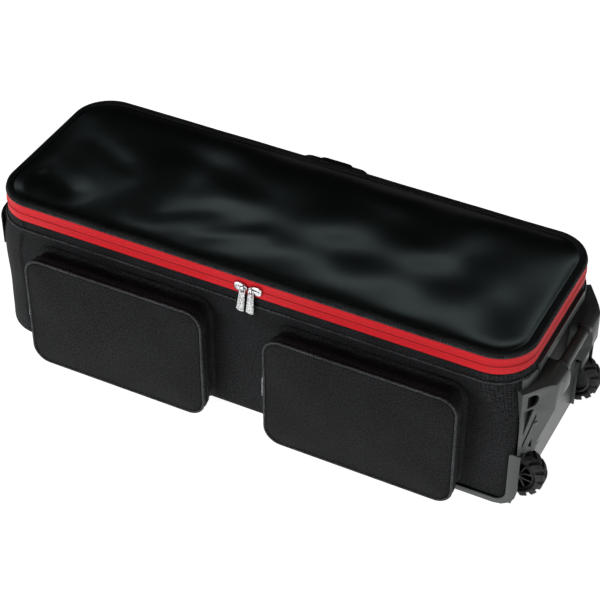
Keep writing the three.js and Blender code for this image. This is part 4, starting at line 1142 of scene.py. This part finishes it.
class CASE_OT_pockets(bpy.types.Operator):
    """Makes the two front pockets"""

    bl_idname = "case.pockets"
    bl_label = "Pockets"

    # Half the room between the two halves of a zip, how far its coil stands out, and the cord's radius
    GAP = 0.3 * MM
    COIL = 0.8 * MM
    CORD = 2.4 * MM

    def execute(self, context):
        pocket = sizes("pocket")
        for name, middle in (("left", pocket.left), ("right", pocket.right)):
            self.make_gusset(name, middle)
            for make in (self.make_band, self.make_cord, self.make_panel):
                self.bend(make(name, middle), name, middle)
        return {"FINISHED"}

    def rings(self, steps, inset, depth, middle):
        """Points round the pocket's outline drawn in by an inset, at each depth in front of the tub."""
        pocket = sizes("pocket")
        inset = np.asarray(inset, float)
        radius = np.maximum(pocket.corner - inset, 3 * MM)
        half_width, half_height = pocket.half_width - inset, pocket.height / 2 - inset
        x, up = outline_at(stretch_steps(*steps), -half_width, half_width, half_height, radius, radius)
        y = -sizes("tub").half_depth - np.asarray(depth, float)[:, None]
        return points_of(x + middle, y, up + pocket.base + pocket.height / 2)

    def make_gusset(self, name, middle):
        """The gusset from the tub to the zip: it sags inwards behind, and its zip tape stands flat in front.

        Slanting wrinkles run round the sagging part. The tape has a sewn groove behind it and the coil on its
        edge.
        """
        pocket = sizes("pocket")
        thick, tape, rows = 2.4 * MM, pocket.zip_depth - 8 * MM, 34
        depth = np.linspace(self.GAP, pocket.zip_depth - self.GAP, rows)
        slack = smooth(depth, 1 * MM, 9 * MM) * (1 - smooth(depth, 20 * MM, tape))
        groove = 0.9 * MM * bell(depth, tape, 0.9 * MM)
        coil = self.COIL * bell(depth, pocket.zip_depth - 1.6 * MM, 0.9 * MM)
        outer = 0.4 * MM + pocket.slack * slack + groove - coil
        inset = np.concatenate([outer, outer[::-1] + thick])
        both = np.concatenate([depth, depth[::-1]])
        points = self.rings(GUSSET_STEPS, inset, both, middle)
        u = along(points[0])
        wave = waves(u, both[:, None], (1, 61, 90, 0), (0.7, 103, -140, 1.3))
        amount = 0.8 * MM * np.concatenate([slack, slack[::-1]])[:, None] * wave
        edge, far_in = self.rings(GUSSET_STEPS, [0, 1], [0, 0], middle)
        inward = (far_in - edge)[None]
        points = points + amount[..., None] * inward / np.linalg.norm(inward, axis=-1, keepdims=True)
        grid_piece(f"pocket_gusset_{name}", points, "ring", woven_black(), "case",
                   f"pocket_shell_{name}", (both, u))

    def front_ring(self, kind, name, middle, inset, depth, material):
        """A closed ring of the pocket's front, whose profile is given by insets and depths."""
        points = self.rings(FRONT_STEPS, inset, depth, middle)
        return grid_piece(f"pocket_{kind}_{name}", points, "ring", material, None,
                          f"pocket_flap_{name}", run_map(points))

    def make_band(self, name, middle):
        """A ring between the zip and the cord, with the coil on its rear edge and a sewn groove before it."""
        pocket = sizes("pocket")
        start, back, rows = pocket.zip_depth + self.GAP, 3.2 * MM, 14
        depth = np.linspace(start, pocket.depth - self.CORD, rows)
        coil = self.COIL * bell(depth - start, 1.0 * MM, 0.9 * MM)
        groove = 0.7 * MM * bell(depth - start, 4.4 * MM, 0.7 * MM)
        inset = np.append(0.5 * MM - coil + groove, [back, back])
        depth = np.append(depth, [pocket.depth - self.CORD - 0.2 * MM, start])
        return self.front_ring("band", name, middle, inset, depth, woven_black())

    def make_cord(self, name, middle):
        """The piping cord: a round section carried round the front's edge."""
        level = sizes("pocket").depth - self.CORD
        inset, depth = round_section(16, 1.4 * MM, self.CORD, level, self.CORD)
        return self.front_ring("cord", name, middle, inset, depth, piping_black())

    def make_panel(self, name, middle):
        """A padded panel that fills the cord's outline: crowned in front and flat behind.

        The crown rises with the distance d from the cord as 1 - exp(-d / 26 mm), with soft puckers that run
        in from the seam and die away.
        """
        pocket = sizes("pocket")
        face, middle_z = -sizes("tub").half_depth, pocket.base + pocket.height / 2
        edge, seam, thick = 1.8 * MM, 6 * MM, 11 * MM
        hx, hy, radius = pocket.half_width - edge, pocket.height / 2 - edge, pocket.corner - edge
        x, up = filled_outline(121, 61, 12, hx, hy, radius)
        gap = inside_depth(x, up, hx, hy, radius)
        crown = pocket.crown * (1 - np.exp(-gap / (26 * MM)))
        swell = crown + self.puckers(np.arctan2(up * hx / hy, x), gap)
        front = points_of(x + middle, face - (pocket.depth - 2.0 * MM + swell), up + middle_z)
        back = points_of(x + middle, face - (pocket.depth - thick), up + middle_z)
        # The fabric darkened to 0.66 is painted shade, so that the pocket front looks no brighter than the
        # tub's face.
        material = fabric_material("woven_black_upright", tint("fabric", 0.66), upright=True)
        mesh = pillow_mesh(f"pocket_panel_{name}", front, back)
        panel = piece(f"pocket_panel_{name}", mesh, material, None, (f"pocket_flap_{name}",))

        def sewn(points):
            return inside_depth(points[:, 0] - middle, points[:, 2] - middle_z, hx, hy, radius) < seam

        puffed(panel, 4 * MM, 5 * MM, sewn)
        return panel

    def puckers(self, angle, gap):
        """Small folds square to the seam and broad ones further in: sums of sines round the edge."""
        fine = 0.2 * MM * waves(angle, 0, (1, 19, 0, 0), (0.7, 31, 0, 1.1), (0.5, 47, 0, 0.3))
        broad = 0.5 * MM * waves(angle, 0, (1, 5, 0, 0.7), (0.6, 9, 0, 2.2))
        return fine * bell(gap, 12 * MM, 9 * MM) + broad * bell(gap, 45 * MM, 30 * MM)

    def bend(self, obj, name, middle):
        """Writes a piece of the front's placement into its mesh. The piece rides on no body."""
        pocket = sizes("pocket")
        y = -sizes("tub").half_depth - pocket.depth
        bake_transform(obj)


class CASE_OT_handles(bpy.types.Operator):
    """Makes the webbing handle at the plain end and the carry handle on the back"""

    bl_idname = "case.handles"
    bl_label = "Handles"

    REACH = 45 * MM
    TILT = math.radians(28)

    def execute(self, context):
        webbing = fabric_material("webbing_black", tint("webbing"), 2.6 * MM, 0.35 * MM, 0.6, slant=2.0)
        self.end_handle(webbing)
        self.rear_loop(webbing)
        self.rear_pad()
        for name in ("left", "right"):
            self.rear_patch(name, webbing)
        return {"FINISHED"}

    def end_handle(self, webbing):
        """A wide strap sewn round both corners and bowed out between them as the square of a sine."""
        tub = sizes("tub")
        low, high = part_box("end_handle")
        off, bow = 1.8 * MM, 24 * MM
        wrap = QUARTER * 0.42
        left = -tub.half_length - tub.bulge
        cx, cy, near = left + tub.corner, tub.half_depth - tub.corner, tub.corner + off
        a = np.linspace(math.pi - wrap, math.pi, 14)[:-1]
        s = np.linspace(0, 1, 48)
        x = np.concatenate([
            cx + near * np.cos(a), left - off - bow * np.sin(s * math.pi) ** 2, cx + near * np.cos(a[::-1])
        ])
        y = np.concatenate([cy + near * np.sin(a), cy - 2 * cy * s, -cy - near * np.sin(a[::-1])])
        path = points_of(x, y, (low[2] + high[2]) / 2)
        width = high[2] - low[2] - 0.4 * MM
        mesh = strip_along("end_webbing", path, width, 3.0 * MM, (0, 0, 1), steps=4)
        points = coordinates(mesh)
        run = np.repeat(along(path), len(points) // len(path))
        lay_cloth(mesh, np.stack([run, points[:, 2] + points[:, 1] * 0.2], axis=-1))
        piece("end_webbing", mesh, webbing, "case", ("end_handle",))

    def tilted(self, x, out, up):
        """Points of the back handle's own level plane, turned up by the tilt and put on its hinge."""
        px, py, pz = next(joint for joint in frame["joints"] if joint["name"] == "rear_handle_hinge")["pos_m"]
        c, s = math.cos(self.TILT), math.sin(self.TILT)
        return points_of(x + px, out * c - up * s + py, out * s + up * c + pz)

    def rear_loop(self, webbing):
        """A flat loop of webbing: two legs, two round bends and the run between them, leaning out."""
        half, width, thick, bend = 62 * MM, 26 * MM, 4 * MM, 13.5 * MM
        near, far = half - bend, self.REACH - bend
        a = np.linspace(0, QUARTER, 9)
        rise = np.linspace(0, far, 8)[:-1]
        across = np.linspace(near, -near, 20)[1:-1]
        plan = np.stack([
            np.concatenate([np.full(7, half), near + bend * np.cos(a), across, -near - bend * np.sin(a),
                            np.full(7, -half)]),
            np.concatenate([rise, far + bend * np.sin(a), np.full(18, self.REACH), far + bend * np.cos(a),
                            rise[::-1]]),
        ], axis=-1)
        tangent = np.gradient(plan, axis=0)
        tangent /= np.linalg.norm(tangent, axis=1, keepdims=True)
        section = rounded_profile(width, thick, thick * 0.42, 3)
        wide = section[None, :, 0]
        x = plan[:, :1] + tangent[:, 1:] * wide
        out = plan[:, 1:] - tangent[:, :1] * wide
        points = self.tilted(x, out, section[None, :, 1])
        uv = np.stack(np.broadcast_arrays(along(plan)[:, None], wide), axis=-1)
        grid_piece("back_handle_webbing", points, "tube", webbing, "rear_handle",
                   "rear_handle_strap", uv)

    def rear_pad(self):
        """The padded wrap: a flattened round section, pinched at both ends and slightly uneven along."""
        half_length, half_width, half_thick = 35 * MM, 16 * MM, 5 * MM
        s = np.linspace(-1, 1, 40)[:, None]
        b = round_turn(32)
        pinch = np.sqrt(np.clip(1 - np.abs(s) ** 10, 0.02, 1))
        puff = 1 + 0.06 * np.sin(s * 9)
        out = self.REACH + squared(np.cos(b), 0.6) * half_width * pinch
        up = squared(np.sin(b), 0.7) * half_thick * pinch * puff
        points = self.tilted(s * half_length, out, up)
        uv = (s[:, 0] * half_length, b * 8 * MM)
        pad = grid_piece("back_handle_pad", points, "tube", woven_black(), "rear_handle",
                         "rear_handle_wrap", uv)

    def rear_patch(self, name, webbing):
        """A sewn patch that carries one leg of the loop, thinner towards its edges."""
        low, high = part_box(f"rear_handle_patch_{name}")
        x, z = np.meshgrid(np.linspace(low[0], high[0], 9), np.linspace(low[2], high[2], 14))
        near = np.minimum(np.minimum(x - low[0], high[0] - x), np.minimum(z - low[2], high[2] - z))
        out = low[1] + (high[1] - low[1]) * (0.55 + 0.45 * smooth(near, 0, 3 * MM))
        cloth = np.stack([x, z], axis=-1)
        mesh = pillow_mesh(f"back_patch_{name}", points_of(x, out, z), points_of(x, low[1], z), cloth)
        piece(f"back_patch_{name}", mesh, webbing, "case", (f"rear_handle_patch_{name}",))


class CASE_OT_wheels(bpy.types.Operator):
    """Makes the lugged tyres and dresses the rims, bushes and axles"""

    bl_idname = "case.wheels"
    bl_label = "Wheels"

    def execute(self, context):
        dark = plastic_material("rim_black", (0.018, 0.02, 0.02), 0.42)
        nylon = plastic_material("bush_nylon", (0.55, 0.55, 0.52), 0.5)
        steel = metal_material("bright_plated")
        for name in ("front", "rear"):
            self.make_tyre(name)
            dressed(f"wheel_rim_{name}", f"spoked_rim_{name}", dark, 0.4 * MM)
            dressed(f"wheel_bush_{name}", f"axle_bush_{name}", nylon, 0.2 * MM)
            dressed(f"axle_{name}", f"axle_pin_{name}", steel, 0.3 * MM)
        return {"FINISHED"}

    def make_tyre(self, name):
        """A tyre whose section is carried round the axle, with chevron lugs.

        A lug stands where a sawtooth of the turn, shifted with the distance from the middle, passes a limit.
        Lugs of the two sides are half a pitch apart and run out over the shoulder.
        """
        low, high = (np.asarray(corner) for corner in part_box(f"tyre_{name}"))
        cx, cy, cz = (low + high) / 2
        half = (high[1] - low[1]) / 2
        lug, count = 6.5 * MM, 13
        inner = 33 * MM
        tread = (high[2] - low[2]) / 2 - lug
        shoulder, heel = 0.96, 0.72

        cross = np.linspace(-1, 1, 41)
        wall = np.linspace(0, 1, 9)[1:]
        r_tread = tread - 2.4 * MM * np.clip((np.abs(cross) - 0.6) / 0.4, 0, 1) ** 2
        r_wall = r_tread[-1] + (inner + 1.5 * MM - r_tread[-1]) * wall
        y_wall = half * (shoulder + 0.04 * np.sin(wall * math.pi))
        r = np.concatenate([r_tread, r_wall, [inner, inner], r_wall[::-1]])
        y = np.concatenate([cross * half * shoulder, y_wall, [half * heel, -half * heel], -y_wall[::-1]])

        turn = round_turn(520)[:, None]
        width = np.clip(np.abs(y) / (half * shoulder), 0, 1.05)
        phase = turn * count / TURN + np.where(y > 0, 0, 0.5) - 0.6 * width
        saw = np.abs(np.mod(phase, 1) - 0.5) * 2
        block = (1 - smooth(saw, 0.60, 0.70)) * smooth(np.abs(y) / half, 0.03, 0.08)
        rise = lug * np.clip((r - (tread - 9 * MM)) / (5 * MM), 0, 1)
        radius = r + block * rise * smooth(r, inner + 1 * MM, tread - 3 * MM)
        swell = block * (np.abs(y) > half * 0.9) * smooth(r, inner + 5 * MM, tread - 4 * MM)
        width_out = y + np.sign(y) * swell * 0.06 * half
        points = points_of(cx + radius * np.cos(turn), cy + width_out, cz + radius * np.sin(turn))
        mesh = grid_mesh(f"lugged_tyre_{name}", points, "ring")
        # The raised value marks the lugs' tops, which take painted light; the grooves between them take
        # painted shade.
        raised = mesh.attributes.new("raised", "FLOAT", "POINT")
        raised.data.foreach_set("value", (block * smooth(r, tread - 12 * MM, tread - 3 * MM)).ravel())
        rubber = rubber_material("tyre_rubber")
        piece(f"lugged_tyre_{name}", mesh, rubber, f"{name}_wheel", (f"tyre_{name}",))


class CASE_OT_moulded(bpy.types.Operator):
    """Dresses the moulded wheel base, end frame, grip bar, runners and screws"""

    bl_idname = "case.moulded"
    bl_label = "Moulded parts"

    def execute(self, context):
        plastic = plastic_material("moulded_grey", tint("plastic"), 0.42)
        steel = metal_material("dark_steel", 0.45, shade=0.2)
        runners = [(f"base_runner_{name}", f"runner_{name}", 0.6) for name in ("front", "middle", "rear")]
        for node, name, bevel in (
            ("end_frame", "moulded_end_frame", 0.6),
            ("wheel_base", "moulded_wheel_base", 0.6),
            ("grip_bar", "grip_tube", 0.3),
            *runners,
        ):
            dressed(node, name, plastic, bevel * MM)
        self.make_webs(plastic)
        for name in ("front", "rear"):
            dressed(f"frame_screw_{name}", f"arm_screw_{name}", steel, 0.3 * MM)
        return {"FINISHED"}

    def make_webs(self, plastic):
        """Two low webs between the guards and the wheel wells, whose underside follows the guard's corner.

        The corner is a circle of 40 mm: at a distance d along it the underside is at 40 - sqrt(40^2 - d^2).
        """
        off_tyre, off_guard, radius = 7.5 * MM, 2.8 * MM, 40 * MM
        low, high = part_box("wheel_base")
        near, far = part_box("tyre_rear")[1][1] + off_tyre, high[1] - off_guard
        x = np.linspace(high[0] - radius - 2 * MM, high[0] - 20 * MM, 9)
        reach = np.clip(x - (high[0] - radius), 0, None)
        under = np.maximum(low[2] + radius - np.sqrt(radius ** 2 - reach ** 2) + 0.3 * MM, 1.5 * MM)
        over = np.maximum(5.6 * MM, under + 1.2 * MM)
        z = np.stack([under, under, over, over], axis=-1)
        for name, side in (("front", -1), ("rear", 1)):
            points = points_of(x[:, None], np.array([near, far, far, near]) * side, z)
            mesh = grid_mesh(f"corner_web_{name}", points, "tube")
            mesh.shade_flat()
            piece(f"corner_web_{name}", mesh, plastic, "case")


class CASE_OT_stage(bpy.types.Operator):
    """Makes the pale floor, the soft lights and the camera"""

    bl_idname = "case.stage"
    bl_label = "Stage"

    def execute(self, context):
        self.make_floor()
        self.make_world()
        cool = (0.8, 1.0, 1.0)
        self.light("overhead", (0.2, -0.3, 4.5), (0.0, 0.0, 0.0), (5.0, 4.0), 20)
        self.light("from_right", (3.6, -0.9, 0.7), (0.3, 0, 0.1), (1.4, 1.2), 16)
        self.light("from_front", (-1.7, -3.7, 1.1), (0, 0, 0.1), (2.6, 1.4), 90)
        self.light("behind", (-0.72, 2.05, 1.66), (0.15, -0.08, 0.31), (1.3, 0.3), 1.6, cool)
        self.light("behind_left", (-1.95, 1.75, 1.45), (-0.4, -0.1, 0.31), (0.3, 0.2), 0.25, cool)
        self.make_camera()
        return {"FINISHED"}

    def make_floor(self):
        """A wide pale plane that glows, so that it stays as white as the photograph's ground."""
        span = np.array([-6.0, 6.0])
        mesh = grid_mesh("floor", points_of(span, span[:, None], -0.5 * MM), "sheet")
        material, tree = blank_material("pale_floor")
        shader = tree.nodes["Principled BSDF"]
        shade = mixed(tree, noise(tree, object_coordinates(tree), 2), tint("floor", 0.99), tint("floor"))
        glow = {"Emission_Color": (1, 1, 1, 1), "Emission_Strength": 0.95}
        fill(tree, shader, Base_Color=shade, Roughness=0.9, **glow)
        mesh.materials.append(material)
        floor = placed("floor", mesh)

    def make_world(self):
        """White where the camera looks past the floor, and nearly black for the light on the case."""
        world = bpy.data.worlds.new("studio")
        world.use_nodes = True
        tree = world.node_tree
        rays = tree.nodes.new("ShaderNodeLightPath")
        seen = times_plus(tree, rays.outputs["Is Camera Ray"], 0.95, 0.012)
        fill(tree, tree.nodes["Background"], Color=(1, 1, 1, 1), Strength=seen)
        bpy.context.scene.world = world

    def aimed(self, name, data, place, target):
        """A light or camera at a place, looking at a target."""
        obj = placed(name, data)
        obj.location = place
        obj.rotation_euler = (Vector(target) - Vector(place)).to_track_quat("-Z", "Y").to_euler()
        return obj

    def light(self, name, place, target, size, power, shade=(1.0, 1.0, 1.0)):
        data = bpy.data.lights.new(name, "AREA")
        data.color = shade
        data.shape = "RECTANGLE"
        data.size, data.size_y = size
        data.energy = power
        self.aimed(name, data, place, target)

    def make_camera(self):
        data = bpy.data.cameras.new("camera")
        data.sensor_width = 36
        data.lens = 112.2
        data.clip_end = 50
        scene = bpy.context.scene
        scene.camera = self.aimed("camera", data, (1.17348, -2.26985, 2.27596), (0.01961, 0.0, 0.13695))
        scene.view_settings.view_transform = "Standard"


# Add-on

OPERATORS = (
    CASE_OT_tub, CASE_OT_zip, CASE_OT_lid, CASE_OT_sliders, CASE_OT_pockets, CASE_OT_handles, CASE_OT_wheels,
    CASE_OT_moulded, CASE_OT_stage,
)
SETTINGS = (
    ("case_tub", CaseTubSizes),
    ("case_lid", CaseLidSizes),
    ("case_pocket", CasePocketSizes),
    ("case_colours", CaseColours),
)


class CASE_PT_panel(bpy.types.Panel):
    """Lists the case's settings and pieces"""

    bl_idname = "CASE_PT_panel"
    bl_label = "Drum hardware case"
    bl_space_type = "VIEW_3D"
    bl_region_type = "UI"
    bl_category = "Case"

    def draw(self, context):
        for name, _ in SETTINGS:
            box = self.layout.box()
            group = getattr(context.scene, name)
            for prop in group.bl_rna.properties:
                if prop.identifier not in {"rna_type", "name"}:
                    box.prop(group, prop.identifier)
        for operator in OPERATORS:
            self.layout.operator(operator.bl_idname)


def register():
    for name, group in SETTINGS:
        bpy.utils.register_class(group)
        setattr(bpy.types.Scene, name, PointerProperty(type=group))
    for operator in OPERATORS:
        bpy.utils.register_class(operator)
    bpy.utils.register_class(CASE_PT_panel)


def unregister():
    bpy.utils.unregister_class(CASE_PT_panel)
    for operator in reversed(OPERATORS):
        bpy.utils.unregister_class(operator)
    for name, group in reversed(SETTINGS):
        delattr(bpy.types.Scene, name)
        bpy.utils.unregister_class(group)


def main():
    register()
    for operator in OPERATORS:
        getattr(bpy.ops.case, operator.bl_idname.split(".")[1])()
    bpy.context.view_layer.update()
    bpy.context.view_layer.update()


if __name__ == "__main__":
    main()
